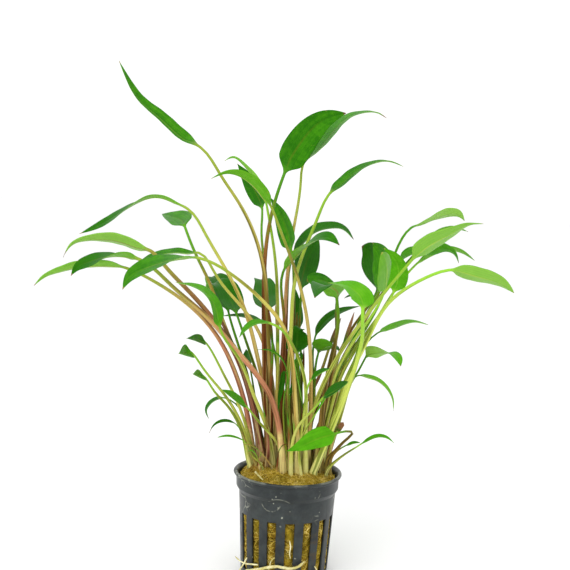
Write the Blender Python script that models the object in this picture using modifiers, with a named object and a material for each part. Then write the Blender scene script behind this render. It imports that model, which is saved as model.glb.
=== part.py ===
"""Potted cryptocoryne: a rosette-forming water plant, grown above water, in a slotted net pot.

The pot stands on z = 0 with its axis on the Z axis, and the plant's front faces -Y. Sizes in this file are
in millimetres and become metres where a mesh is made. The leaves were drawn from the front: each point of a
leaf is given across and up, as seen from EYE against the upright plane through the pot's axis, and "back"
says how far behind that plane it lies.
"""
import math
from collections import namedtuple

import bmesh
import bpy
import numpy as np
from mathutils import Matrix

MM = 0.001
GAP = 0.3

# Net pot: radii and heights above the surface that it stands on
POT_HEIGHT = 50.0
LIP_RADIUS = 26.0
LIP_ROLL = 0.9
BAND_RADIUS = 24.6
BAND_FOOT = 42.0
STEP_DROP = 0.9
STEP_RADIUS = 23.2
BASE_RADIUS = 20.9
BASE_CHAMFER = 0.8
WALL = 1.1
FLOOR = 1.4
POT_STEPS = 48
SLOTS = 16
SLOT_WIDTH = 4.2
SLOT_FOOT = 3.5
SLOT_TOP = 30.6
SLOT_PHASE = math.radians(5.0)

# Rock wool plug: its side follows the pot's wall, and its top is a low dome with a mound at the left
WOOL_EDGE = 46.6
WOOL_STEPS = 28
WOOL_RINGS = (21.5, 17.0, 12.5, 8.0, 4.0)
DOME_HEIGHT = 5.2
DOME_RADIUS = 23.0
MOUND_HEIGHT = 3.2
MOUND_PLACE = (-14.0, -2.0)
MOUND_SPREAD = 7.0

# Roots: name, radius and the points of their middle line
ROOT_COLOUR = (0.72, 0.62, 0.36)
ROOTS = (
    ("root_front", 0.8, ((-17.6, -15.2, 4.6), (-13.4, -18.7, 6.6), (-8.5, -21.3, 8.8), (-3.5, -22.7, 10.2),
                         (1.5, -22.9, 9.7), (6.0, -22.3, 10.2), (9.5, -21.1, 12.6))),
    ("root_left_upper", 0.4, ((-12.2, -19.0, 9.2), (-15.6, -16.8, 8.6), (-18.8, -13.8, 7.8),
                              (-21.4, -12.2, 8.6), (-23.4, -12.2, 10.4))),
    ("root_left_lower", 0.35, ((-17.7, -14.7, 11.0), (-19.4, -15.7, 7.6), (-21.2, -16.7, 4.8),
                               (-22.6, -17.8, 2.2), (-25.5, -20.0, 0.5))),
    ("root_slot", 0.4, ((1.9, -21.9, 22.5), (2.6, -21.8, 19.5), (2.3, -21.9, 16.5), (2.8, -22.2, 14.0))),
)

# The point that the leaves were drawn from, and how finely their middle lines are followed
EYE = (-5.3, -516.5, 198.4)
STATIONS = 120

# Leaf build. The powers round off the blade's outline at its base and tip. The fold lifts the blade's edges,
# and the drawn line lies MIDRIB_SINK of that lift above the midrib. The petiole flattens into the blade over
# the first FLATTENING of the blade's length.
BLADE_BASE_POWER = 0.5
BLADE_TIP_POWER = 0.75
BLADE_THICKNESS = 0.9
MIDRIB_SINK = 0.75
FLATTENING = 1 / 6
PETIOLE_TAPER = 0.5
PETIOLE_LEAN_POWER = 1.5
TIP_HALF_WIDTH = 0.25
TIP_NARROWING = 0.25
PETIOLE_RING_EVERY = 42.0
BLADE_RING_EVERY = 9.0
FOOT_GAP = 1.1
FOOT_SETTLES_OVER = 20.0

# Room between leaves: rounds of pushing apart, how far a push spreads along a leaf, and the free space kept
ROOM_ROUNDS = 600
ROOM_SPREAD = 0.16
ROOM_FREE = 1.0
ROOM_ACROSS = np.linspace(-1, 1, 7)
ROOM_LARGEST_PUSH = 0.6
FEET_WITHIN = 20.3

LEAF_COLOURS = {
    "green": (0.06, 0.23, 0.03),
    "lime": (0.24, 0.45, 0.07),
    "olive": (0.13, 0.25, 0.04),
    "tan": (0.16, 0.26, 0.05),
    "pink": (0.25, 0.32, 0.10),
    "red": (0.09, 0.20, 0.03),
    "purple": (0.20, 0.30, 0.08),
}

# A leaf: the colour of its petiole; the blade's width and the upward fold of its halves in degrees; how far
# its upper face turns to the front, in degrees, at the blade's base and tip; the petiole's thickness at its
# foot; the foot's place on the wool (across, back); the petiole's points above the foot, up to the blade's
# base, and the blade's points, up to its tip, both as (across, up); and how far back base and tip lie.
Leaf = namedtuple("Leaf", "kind width fold turn girth foot petiole blade back")

LEAVES = (
    # Tall leaves of the crown
    Leaf("tan", 10, 25, (25, 15), 2.8, (-6.2, 0.6),
         ((-9, 84), (-12, 113), (-16.5, 150), (-28, 176.5), (-38, 190.5), (-47, 202)),
         ((-54, 206), (-66.5, 216), (-76, 223.5), (-82, 232), (-86.5, 240.5)), (10, 22)),
    Leaf("red", 15, 12, (75, 70), 3.2, (-9.8, 2.2),
         ((-12.5, 88.5), (-15, 132), (-14.5, 163), (-11, 181.5), (-8, 191.5)),
         ((-6, 197), (-1, 206), (4.5, 213.5), (11, 218.5), (19.5, 221)), (12, 30)),
    Leaf("pink", 13, 12, (-5, 10), 2.6, (-4.5, 11.4),
         ((-5.5, 84), (-5, 113), (-4.5, 142), (-2.5, 165.5), (0, 190), (0.5, 196)),
         ((5, 202), (10.5, 208.5), (15, 214.5), (20.5, 219.5), (27.5, 222), (34, 222), (38.5, 219.5)), (25, 45)),
    Leaf("lime", 9, 15, (15, 0), 2.8, (-1.6, -2.2),
         ((-2, 84.5), (-1.5, 123), (-0.5, 143), (4, 159), (9, 173), (13, 182.5)),
         ((19, 189), (25.5, 195), (32, 198.5), (40, 200), (47.5, 197.5)), (5, 20)),
    # Arching leaves on the left
    Leaf("tan", 8, 10, (-55, 80), 2.8, (-9.4, 6.2),
         ((-11, 79), (-16.5, 103), (-23.5, 126), (-34, 146.5), (-44, 162.5), (-52.5, 173.5)),
         ((-58, 176), (-63, 178), (-69, 178.5), (-75, 176.5), (-83, 171.5), (-91.5, 165.5),
          (-103, 159.5)), (18, 30)),
    Leaf("olive", 12, 15, (35, 25), 2.8, (-12, 10.2),
         ((-25, 100.5), (-34.5, 122.5), (-41, 139), (-49.5, 155.5), (-53.5, 165)),
         ((-56, 169), (-59, 170), (-64.5, 170.5)), (20, 42)),
    Leaf("purple", 10, 15, (-50, -20), 3.8, (-13, 5),
         ((-19, 83.5), (-28, 106.5), (-38.5, 121.5), (-50, 134), (-63.5, 147.5), (-68.5, 152.5)),
         ((-74.5, 154.5), (-84, 157.5), (-93.5, 158), (-101, 157), (-106.5, 154.5), (-110.5, 148)), (-5, 5)),
    Leaf("pink", 11, 12, (-50, 85), 3.4, (-2.5, -6),
         ((-5.5, 72), (-11, 87.5), (-25.5, 105.5), (-42.5, 123.5), (-59.5, 137.5), (-74, 148.5)),
         ((-77, 149.5), (-82, 150.5), (-87, 150.5), (-93, 149), (-99, 146.5), (-103.5, 144),
          (-106.5, 139.5)), (-20, -15)),
    Leaf("pink", 9, 15, (-30, -30), 3.0, (-16.6, 8.2),
         ((-20, 73.5), (-27, 96), (-39, 117), (-54.5, 131), (-69, 139.5), (-79.5, 144)),
         ((-86.5, 145.5), (-96, 145.5), (-104, 144.5), (-112, 142), (-119.5, 138.5), (-124, 134)),
          (-15, -20)),
    Leaf("tan", 14, 14, (-15, 50), 2.8, (4.6, -6.2),
         ((3, 74.5), (1, 94), (-5, 119), (-16, 132), (-31.5, 144), (-46, 150.5)),
         ((-52, 151), (-61.5, 149.5), (-68, 147), (-74, 144), (-78.5, 140.5), (-82, 134)), (-25, -35)),
    Leaf("tan", 8, 20, (5, 35), 2.6, (-6.6, 4.2),
         ((-10.5, 98.5), (-17, 117), (-27, 130), (-38.5, 143.5), (-46.5, 153)),
         ((-50.5, 153), (-56.5, 153.5), (-63, 152.5), (-69.5, 150.5), (-75.5, 146.5)), (10, 25)),
    Leaf("lime", 9, 10, (90, 0), 2.4, (-7.2, -4.5),
         ((-10.5, 69), (-17.5, 85), (-26.5, 104.5), (-35, 117)),
         ((-36.5, 124.5), (-39, 130.5), (-43, 135), (-49, 137.5), (-57, 138.5)), (-30, -45)),
    # Broad leaves behind the left petioles, which arch away
    Leaf("green", 13, 15, (10, 10), 2.4, (-13.4, 14.4),
         ((-18.5, 83.5), (-24, 103.5), (-31.5, 125.5)),
         ((-33, 134), (-36.5, 141), (-40, 142.5), (-42, 137.5)), (22, 55)),
    Leaf("green", 13, 15, (10, 15), 2.4, (-8.4, 9.6),
         ((-13, 84), (-22.5, 111.5), (-27.5, 124.5)),
         ((-30.5, 132), (-34.5, 138.5), (-39, 139.5), (-41, 132.5)), (8, 40)),
    Leaf("olive", 13, 12, (0, 0), 2.4, (-5.5, 16),
         ((-9, 84), (-12.5, 108), (-13.5, 126)),
         ((-14.5, 133.5), (-16, 141.5), (-16.5, 142), (-16.5, 136.5)), (28, 62)),
    Leaf("lime", 6, 20, (20, -10), 2.4, (8.2, -7.2),
         ((7.5, 75), (5.5, 97), (-0.5, 111), (-7, 119), (-11.5, 121)),
         ((-17.5, 121.5), (-22.5, 118.5), (-26, 113.5)), (-35, -45)),
    Leaf("green", 6, 20, (-5, 25), 2.0, (-2.4, 4.6),
         ((-5.5, 84), (-9, 108), (-13.5, 119.5)),
         ((-18.5, 122.5), (-23.5, 124), (-34.5, 123.5)), (8, 26)),
    # Upright leaves of the middle
    Leaf("tan", 10, 25, (-10, -20), 2.5, (9.2, -3.2),
         ((9, 95.5), (5.5, 125.5), (-0.5, 146), (-11, 171), (-13, 175.5)),
         ((-15.5, 179.5), (-19, 184.5), (-23.5, 188.5), (-28.5, 191), (-35, 191.5), (-42, 188)), (-20, -32)),
    Leaf("olive", 9, 20, (45, 45), 2.4, (-8.8, 17),
         ((-12.5, 108), (-15, 147), (-17.5, 167.5), (-17.5, 174.5)),
         ((-19, 179), (-21.5, 183.5), (-25, 189), (-30, 195.5)), (30, 50)),
    Leaf("lime", 6, 20, (-65, -35), 2.6, (-4.4, 7.6),
         ((-7.5, 108.5), (-9.5, 144), (-12, 160.5), (-15, 174.5)),
         ((-18, 184.5), (-22.5, 191), (-27.5, 196), (-32, 198.5), (-36, 196.5)), (22, 40)),
    Leaf("olive", 10, 20, (65, 60), 2.4, (1, 6.5),
         ((0, 104), (-1, 137.5), (-3, 155.5)),
         ((-5, 162), (-9, 172.5), (-14, 180.5)), (12, 32)),
    Leaf("red", 11, 20, (35, 10), 2.4, (1.8, 9.8),
         ((-3.5, 108.5), (-4, 137), (-2.5, 152.5)),
         ((3, 162.5), (7.5, 166.5), (14.5, 168.5), (20.5, 168), (26, 162.5)), (25, 20)),
    Leaf("red", 11, 15, (-25, 50), 2.7, (-1.2, 1.2),
         ((-4.5, 94), (-5.5, 127.5), (-6.5, 145.5)),
         ((-2.5, 152.5), (2.5, 158.5), (7.5, 162), (13, 163.5), (19.5, 159.5)), (0, -15)),
    Leaf("red", 13, 20, (30, 20), 2.4, (3, 13),
         ((2, 108.5), (2.5, 128), (2.5, 137)),
         ((3, 144), (4.5, 151), (6.5, 157), (9.5, 162)), (18, 46)),
    Leaf("lime", 13, 12, (35, 5), 3.2, (12.1, -6.2),
         ((23.5, 80.5), (29.5, 100.5), (32.5, 117.5), (32, 129.5)),
         ((31.5, 135), (28.5, 138.5), (24, 141), (19, 141.5), (15, 141.5)), (-42, -35)),
    Leaf("olive", 12, 15, (-55, 45), 3.2, (13.9, -2.2),
         ((15.5, 85), (18, 104.5), (20.5, 126.5), (19.5, 134)),
         ((19, 138.5), (15.5, 141), (11, 140), (9, 134)), (-14, -42)),
    Leaf("green", 6, 15, (20, 20), 2.0, (8.4, 8.2),
         ((10.5, 85), (9.5, 104), (10, 115)),
         ((12, 120), (16, 125), (21.5, 128.5), (26, 130), (30.5, 131)), (14, 26)),
    # Leaves of the cluster on the right
    Leaf("red", 14, 15, (60, 60), 2.5, (5.4, 10.6),
         ((11.7, 79.5), (16.7, 94), (22.5, 109.5), (27, 119.5), (32, 127.5), (38, 138)),
         ((37.5, 145), (36, 150.5), (34.5, 155), (33, 158), (30, 159.5)), (26, 48)),
    Leaf("green", 17, 10, (70, 70), 2.2, (10.8, 4.8),
         ((15.5, 70.5), (20.5, 95), (28, 110), (36, 124.5), (41.5, 138.5)),
         ((41.5, 146.5), (40, 152.5), (38, 157.5), (35, 161.5)), (14, 32)),
    Leaf("lime", 12, 12, (-65, -60), 2.4, (12.9, 1.8),
         ((16.5, 80), (20.5, 97.5), (27, 111.5), (35, 124.5), (41.5, 138)),
         ((41.5, 143), (41.5, 148.5), (41, 152.5), (39.5, 157)), (-8, -28)),
    Leaf("lime", 11, 15, (60, 60), 2.4, (13.9, 6.6),
         ((19, 80.5), (23, 96), (29.5, 110), (37.5, 123.5), (46, 138)),
         ((47.5, 144), (47.5, 150), (44.5, 155.5), (40.5, 159)), (6, 12)),
    # Arching leaves on the right
    Leaf("green", 9, 14, (-15, -70), 2.5, (11.6, 9.6),
         ((18, 80.5), (22, 97.5), (29, 117), (36.5, 132), (43, 148), (52.5, 169)),
         ((57, 171.5), (62, 174), (66.5, 176), (71, 177), (75, 176.5), (77.5, 173.5)), (20, 44)),
    Leaf("lime", 13, 10, (-40, -10), 2.7, (5.6, -2.3),
         ((11.5, 82.5), (17, 97.5), (25, 113), (36.5, 130.5), (48.5, 147), (53.5, 153.5)),
         ((58, 159), (64.5, 164), (72.5, 168.5), (79.5, 172), (86.5, 172.5)), (-28, -40)),
    Leaf("olive", 10, 20, (0, 60), 2.4, (9.4, 12.4),
         ((15, 75.5), (20.5, 97.5), (29, 117), (37.5, 134.5), (47.5, 152)),
         ((53.5, 158), (61, 158.5), (68, 160.5), (74, 158), (76, 153.5)), (34, 48)),
    Leaf("lime", 8, 20, (-60, 5), 2.4, (13.3, 12.7),
         ((20, 78), (25.5, 95), (34, 115), (42.5, 132), (55.5, 151.5)),
         ((63, 157.5), (70.5, 160), (77, 159), (83.5, 155)), (42, 66)),
    Leaf("olive", 6, 20, (-70, -10), 2.4, (10.8, 15.8),
         ((19, 80.5), (23.5, 100), (31, 119.5), (42, 139.5), (58.5, 161)),
         ((64.5, 167), (72, 170), (79.5, 168.5)), (45, 72)),
    Leaf("lime", 11, 12, (-55, -25), 3.0, (16, 3.5),
         ((17.2, 61.5), (21, 77), (25.5, 93), (34.5, 114), (43.5, 132.5), (53.5, 141.5), (63, 147),
          (71.5, 150)),
         ((77, 150), (84, 148.5), (91, 147), (97.5, 144.5), (103, 140.5)), (-8, 0)),
    Leaf("green", 8, 15, (0, 10), 1.7, (15.8, 11.4),
         ((19.5, 65.5), (22.5, 85.5), (27.5, 99), (32.5, 110), (39.5, 118.5)),
         ((44.5, 121), (50, 123.5), (57, 125), (63.5, 123.5)), (20, 32)),
    Leaf("green", 10, 12, (-65, 35), 2.0, (17.8, 7),
         ((22.5, 70.5), (26, 85.5), (28.5, 94.5), (32.5, 102), (34.5, 106.5)),
         ((37.5, 109), (42.5, 110), (47, 109.5), (50, 107), (51.5, 103)), (8, -6)),
    Leaf("olive", 5, 20, (5, 60), 1.5, (17.8, 9.6),
         ((21.5, 70.5), (23.5, 83), (26.5, 92.5), (31, 97.5)),
         ((36, 97.5), (41, 96), (45, 93), (49, 85), (49, 81)), (12, 20)),
    # Low leaves at the front and right
    Leaf("lime", 7.5, 20, (55, 45), 1.9, (1.4, -7.6),
         ((3, 69.5), (7.5, 76.5), (13, 83), (15, 86)),
         ((19, 89.5), (23, 92), (27, 94.5)), (-32, -44)),
    Leaf("lime", 5, 20, (50, 15), 1.7, (2, -4.2),
         ((5, 65), (6.5, 80), (7.5, 90.5), (9, 94.5)),
         ((13, 98.5), (18, 100.5)), (-25, -30)),
    Leaf("olive", 10, 12, (50, 50), 2.0, (18.6, 1),
         ((19, 56.5), (21.5, 59.5), (25.8, 64.7), (30, 70), (26.5, 70.2), (22.5, 69)),
         ((15.5, 67), (6.5, 62.5), (-1.5, 59)), (-22, -34)),
    Leaf("lime", 3.5, 20, (30, 15), 1.5, (18.3, -3.2),
         ((19.3, 51.5), (21.5, 54.2), (27, 59), (34.3, 64.2)),
         ((38.7, 67.3), (43.6, 68.8), (47.3, 67.9), (50.2, 65.6)), (-20, -26)),
    Leaf("olive", 3, 20, (20, 20), 1.4, (20.2, -1),
         ((20.9, 57.3), (23.6, 60.8), (27.3, 63.3)),
         ((30.4, 64.8), (34, 65)), (-15, -18)),
    # Young leaves low on the left
    Leaf("lime", 5.5, 20, (60, 50), 2.0, (-15.8, 3.2),
         ((-19, 64), (-22, 73.5), (-28.5, 88), (-33, 96), (-41.5, 110)),
         ((-45.5, 112), (-51, 112)), (-20, -40)),
    Leaf("lime", 8, 25, (50, 50), 2.0, (-17.6, 0.6),
         ((-19, 59), (-22, 68.5), (-31.5, 85), (-43, 98.5), (-48, 105)),
         ((-50.5, 105.5), (-54.5, 104.5)), (-30, -48)),
    Leaf("lime", 7, 20, (45, 45), 2.0, (-18.4, -2.2),
         ((-19.5, 55), (-22, 65), (-32, 82), (-36.5, 86.5), (-41.5, 93.5)),
         ((-44, 94.5), (-47.5, 95)), (-26, -42)),
    Leaf("lime", 6, 20, (55, 50), 1.8, (-4.6, -2.4),
         ((-4.5, 60.5), (-8.5, 66.5), (-13.5, 71.5), (-17.5, 76), (-21, 80)),
         ((-27.5, 85), (-33.5, 88)), (-32, -46)),
    Leaf("green", 4, 20, (15, 100), 1.4, (-15.6, 12),
         ((-19, 64), (-22.5, 76), (-28, 82.5), (-32, 84)),
         ((-38, 82), (-40.5, 77.5), (-39, 73.5)), (10, 18)),
    # Young leaves in the heart of the plant
    Leaf("green", 12, 15, (10, 10), 2.2, (3.5, 0.6),
         ((4.5, 75), (3.5, 94.5), (2, 107)),
         ((1.5, 111), (1.5, 115.5), (2.5, 119), (5, 118.5)), (-3, 10)),
    Leaf("green", 11, 20, (-35, -20), 2.2, (7.4, 5),
         ((11, 85), (11, 102), (12, 108)),
         ((14, 111.5), (18, 112.5), (22, 109)), (2, -12)),
    Leaf("green", 6, 15, (40, 30), 1.7, (-10.3, 13),
         ((-17, 83.5), (-20.5, 100)),
         ((-22, 104.5), (-22.5, 108)), (18, 30)),
    Leaf("green", 6, 15, (50, 50), 2.0, (6.5, 14.5),
         ((4.5, 94.5), (2.5, 118.5)),
         ((1.5, 125.5), (0.5, 131.5), (-1, 139)), (26, 34)),
)


def clear_scene():
    for thing in list(bpy.data.objects):
        bpy.data.objects.remove(thing, do_unlink=True)


def make_collection(name):
    collection = bpy.data.collections.new(name)
    bpy.context.scene.collection.children.link(collection)
    return collection


def make_material(name, colour, roughness):
    material = bpy.data.materials.new(name)
    material.use_nodes = True
    shader = material.node_tree.nodes["Principled BSDF"]
    shader.inputs["Base Color"].default_value = (*colour, 1)
    shader.inputs["Roughness"].default_value = roughness
    shader.inputs["Metallic"].default_value = 0
    return material


def add_object(name, mesh, collection, material=None):
    thing = bpy.data.objects.new(name, mesh)
    collection.objects.link(thing)
    if material:
        mesh.materials.append(material)
    return thing


def turned_mesh(name, profile, steps):
    """The closed mesh of a profile of (radius, height) points in mm, turned round the Z axis."""
    line = bmesh.new()
    points = [line.verts.new((radius * MM, 0, height * MM)) for radius, height in profile]
    for first, second in zip(points, points[1:]):
        line.edges.new((first, second))
    mesh = bpy.data.meshes.new(name)
    line.to_mesh(mesh)
    line.free()
    thing = bpy.data.objects.new(name, mesh)
    bpy.context.scene.collection.objects.link(thing)
    screw = thing.modifiers.new("turn", "SCREW")
    screw.angle = 2 * math.pi
    screw.steps = steps
    screw.render_steps = steps
    screw.use_merge_vertices = True
    screw.merge_threshold = 0.00001
    turned = bpy.data.meshes.new_from_object(thing.evaluated_get(bpy.context.evaluated_depsgraph_get()))
    turned.name = name
    bpy.data.objects.remove(thing, do_unlink=True)
    return turned


def wall_radius(height):
    """The outer radius of the pot's tapered lower wall at a height."""
    return BASE_RADIUS + (STEP_RADIUS - BASE_RADIUS) * height / (BAND_FOOT - STEP_DROP)


def add_pot(collection, cutters):
    """The cup with its rolled lip, upper band and step, and the slots cut round its lower wall."""
    step_foot = BAND_FOOT - STEP_DROP
    lip_middle = POT_HEIGHT - LIP_ROLL
    roll_centre = LIP_RADIUS - LIP_ROLL
    lip = [(roll_centre + LIP_ROLL * math.cos(angle), lip_middle + LIP_ROLL * math.sin(angle))
           for angle in (math.pi / 2, math.pi / 4, 0, -math.pi / 4, -math.pi / 2)]
    profile = [
        (0, FLOOR),
        (wall_radius(FLOOR) - WALL, FLOOR),
        (STEP_RADIUS - WALL, step_foot),
        (BAND_RADIUS - WALL, BAND_FOOT),
        (BAND_RADIUS - WALL, lip_middle),
        *lip,
        (BAND_RADIUS, lip_middle - LIP_ROLL),
        (BAND_RADIUS, BAND_FOOT),
        (STEP_RADIUS, step_foot),
        (wall_radius(BASE_CHAMFER), BASE_CHAMFER),
        (BASE_RADIUS - BASE_CHAMFER, 0),
        (0, 0),
    ]
    pot = add_object("pot", turned_mesh("pot", profile, POT_STEPS), collection,
                     make_material("black plastic", (0.035, 0.042, 0.047), 0.42))
    pot.data.shade_smooth()
    pot.data.set_sharp_from_angle(angle=math.radians(35))

    slots = bmesh.new()
    reach = STEP_RADIUS + 2
    depth = 6
    for index in range(SLOTS):
        box = bmesh.ops.create_cube(slots, size=1)["verts"]
        bmesh.ops.scale(slots, verts=box, vec=(SLOT_WIDTH * MM, depth * MM, (SLOT_TOP - SLOT_FOOT) * MM))
        middle = (0, -(reach - depth / 2) * MM, (SLOT_TOP + SLOT_FOOT) / 2 * MM)
        bmesh.ops.translate(slots, verts=box, vec=middle)
        angle = SLOT_PHASE + 2 * math.pi * index / SLOTS
        bmesh.ops.rotate(slots, verts=box, cent=(0, 0, 0), matrix=Matrix.Rotation(angle, 3, "Z"))
    mesh = bpy.data.meshes.new("slots")
    slots.to_mesh(mesh)
    slots.free()
    cutter = add_object("slot_cutter", mesh, cutters)
    cutter.hide_render = True
    cutter.display_type = "WIRE"
    cut = pot.modifiers.new("slots", "BOOLEAN")
    cut.operation = "DIFFERENCE"
    cut.object = cutter


def wool_top(across, back):
    """Height of the rock wool's top: a low dome, a mound at the left, and a slight waviness."""
    dome = DOME_HEIGHT * (1 - (across ** 2 + back ** 2) / DOME_RADIUS ** 2)
    distance = np.hypot(across - MOUND_PLACE[0], back - MOUND_PLACE[1])
    mound = MOUND_HEIGHT * np.exp(-(distance / MOUND_SPREAD) ** 2)
    return WOOL_EDGE + 0.4 + dome + mound + 0.35 * np.sin(0.31 * across + 1.0) * np.cos(0.27 * back)


def add_rock_wool(collection):
    """The fibre plug: its side follows the inside of the pot, a gap away."""
    step_foot = BAND_FOOT - STEP_DROP
    inset = WALL + GAP
    side = [
        (BAND_RADIUS - inset - 0.3, WOOL_EDGE),
        (BAND_RADIUS - inset, WOOL_EDGE - 1.2),
        (BAND_RADIUS - inset, BAND_FOOT + GAP),
        (STEP_RADIUS - inset, step_foot),
        (wall_radius(FLOOR) - inset, FLOOR + GAP),
    ]
    profile = [(0, WOOL_EDGE)] + [(radius, WOOL_EDGE) for radius in reversed(WOOL_RINGS)]
    profile += side + [(0, FLOOR + GAP)]
    mesh = turned_mesh("rock_wool", profile, WOOL_STEPS)
    rim = (WOOL_RINGS[0] + 0.1) * MM
    for vertex in mesh.vertices:
        if abs(vertex.co.z - WOOL_EDGE * MM) < 1e-6 and math.hypot(vertex.co.x, vertex.co.y) < rim:
            vertex.co.z = MM * wool_top(vertex.co.x / MM, vertex.co.y / MM)
    add_object("rock_wool", mesh, collection, make_material("rock wool", (0.30, 0.21, 0.06), 0.95))


def smooth_path(knots, count):
    """Evenly spaced points on the natural cubic spline through the knots, and each knot's place along it."""
    knots = np.array(knots, float)
    steps = np.linalg.norm(np.diff(knots, axis=0), axis=1)[:, None]
    slopes = np.diff(knots, axis=0) / steps
    system = np.eye(len(knots))
    sides = np.zeros_like(knots)
    for k in range(1, len(knots) - 1):
        system[k, k - 1:k + 2] = steps[k - 1, 0], 2 * (steps[k - 1, 0] + steps[k, 0]), steps[k, 0]
        sides[k] = 6 * (slopes[k] - slopes[k - 1])
    bends = np.linalg.solve(system, sides)
    places = np.concatenate(([0], np.cumsum(steps)))
    wanted = np.linspace(0, places[-1], count)
    piece = np.clip(np.searchsorted(places, wanted, side="right") - 1, 0, len(steps) - 1)
    step = steps[piece]
    after = (wanted - places[piece])[:, None] / step
    before = 1 - after
    curve = (before ** 3 - before) * bends[piece] + (after ** 3 - after) * bends[piece + 1]
    return before * knots[piece] + after * knots[piece + 1] + curve * step ** 2 / 6, places / places[-1]


def from_front(points):
    """Places in space of points given as across, up and back."""
    scale = (points[..., 2] - EYE[1]) / -EYE[1]
    across = EYE[0] + (points[..., 0] - EYE[0]) * scale
    up = EYE[2] + (points[..., 1] - EYE[2]) * scale
    return np.stack((across, points[..., 2], up), axis=-1)


def to_front(places):
    """Across, up and back of places in space."""
    scale = (places[..., 1] - EYE[1]) / -EYE[1]
    across = EYE[0] + (places[..., 0] - EYE[0]) / scale
    up = EYE[2] + (places[..., 2] - EYE[2]) / scale
    return np.stack((across, up, places[..., 1]), axis=-1)


def leaf_path(leaf):
    """A leaf's middle line from foot to tip, as across, up and back, and the blade's share of the way."""
    foot = to_front(np.array((*leaf.foot, wool_top(*leaf.foot) + FOOT_GAP)))
    flat = [tuple(foot[:2]), *leaf.petiole, *leaf.blade]
    base = len(leaf.petiole)
    lengths = np.concatenate(([0], np.cumsum([math.dist(a, b) for a, b in zip(flat, flat[1:])])))
    reach = np.minimum(lengths / lengths[base], 1) ** PETIOLE_LEAN_POWER
    share = np.clip((lengths - lengths[base]) / (lengths[-1] - lengths[base]), 0, 1)
    back = foot[2] + (leaf.back[0] - foot[2]) * reach + (leaf.back[1] - leaf.back[0]) * share
    path, places = smooth_path([(*point, depth) for point, depth in zip(flat, back)], STATIONS)
    return path, places[base]


def half_widths(leaf, base, places):
    """The blade's half width, or the petiole's radius, at places between 0 and 1 along a leaf."""
    petiole = leaf.girth / 2 * (1 - (1 - PETIOLE_TAPER) * np.minimum(places / base, 1))
    share = np.clip((places - base) / (1 - base), 0, 1)
    peak = BLADE_BASE_POWER / (BLADE_BASE_POWER + BLADE_TIP_POWER)
    most = peak ** BLADE_BASE_POWER * (1 - peak) ** BLADE_TIP_POWER
    blade = leaf.width / 2 * share ** BLADE_BASE_POWER * (1 - share) ** BLADE_TIP_POWER / most
    narrowing = petiole * np.clip((1 - share) / TIP_NARROWING, 0, 1)
    return np.maximum(np.maximum(blade, narrowing), TIP_HALF_WIDTH), petiole, share


def leaf_frame(leaf, base, places, points):
    """Unit vectors along a leaf, across it, and out of its upper face, at each of its points."""
    along = np.gradient(points, axis=0)
    along[0] = (0, 0, 1)
    along /= np.linalg.norm(along, axis=1)[:, None]
    heading = points[-1, :2] - points[int(base * (len(points) - 1)), :2]
    heading = heading / np.linalg.norm(heading)
    level = np.array((-heading[1], heading[0], 0.0))
    side = level - (along @ level)[:, None] * along
    side /= np.linalg.norm(side, axis=1)[:, None]
    face = np.cross(along, side)
    front = -1 if level[1] > 0 else 1
    share = np.clip((places - base) / (1 - base), 0, 1)
    turn = np.radians(leaf.turn[0] + (leaf.turn[1] - leaf.turn[0]) * share)[:, None]
    face = np.cos(turn) * face + np.sin(turn) * front * side
    return along, np.cross(face, along), face


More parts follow.
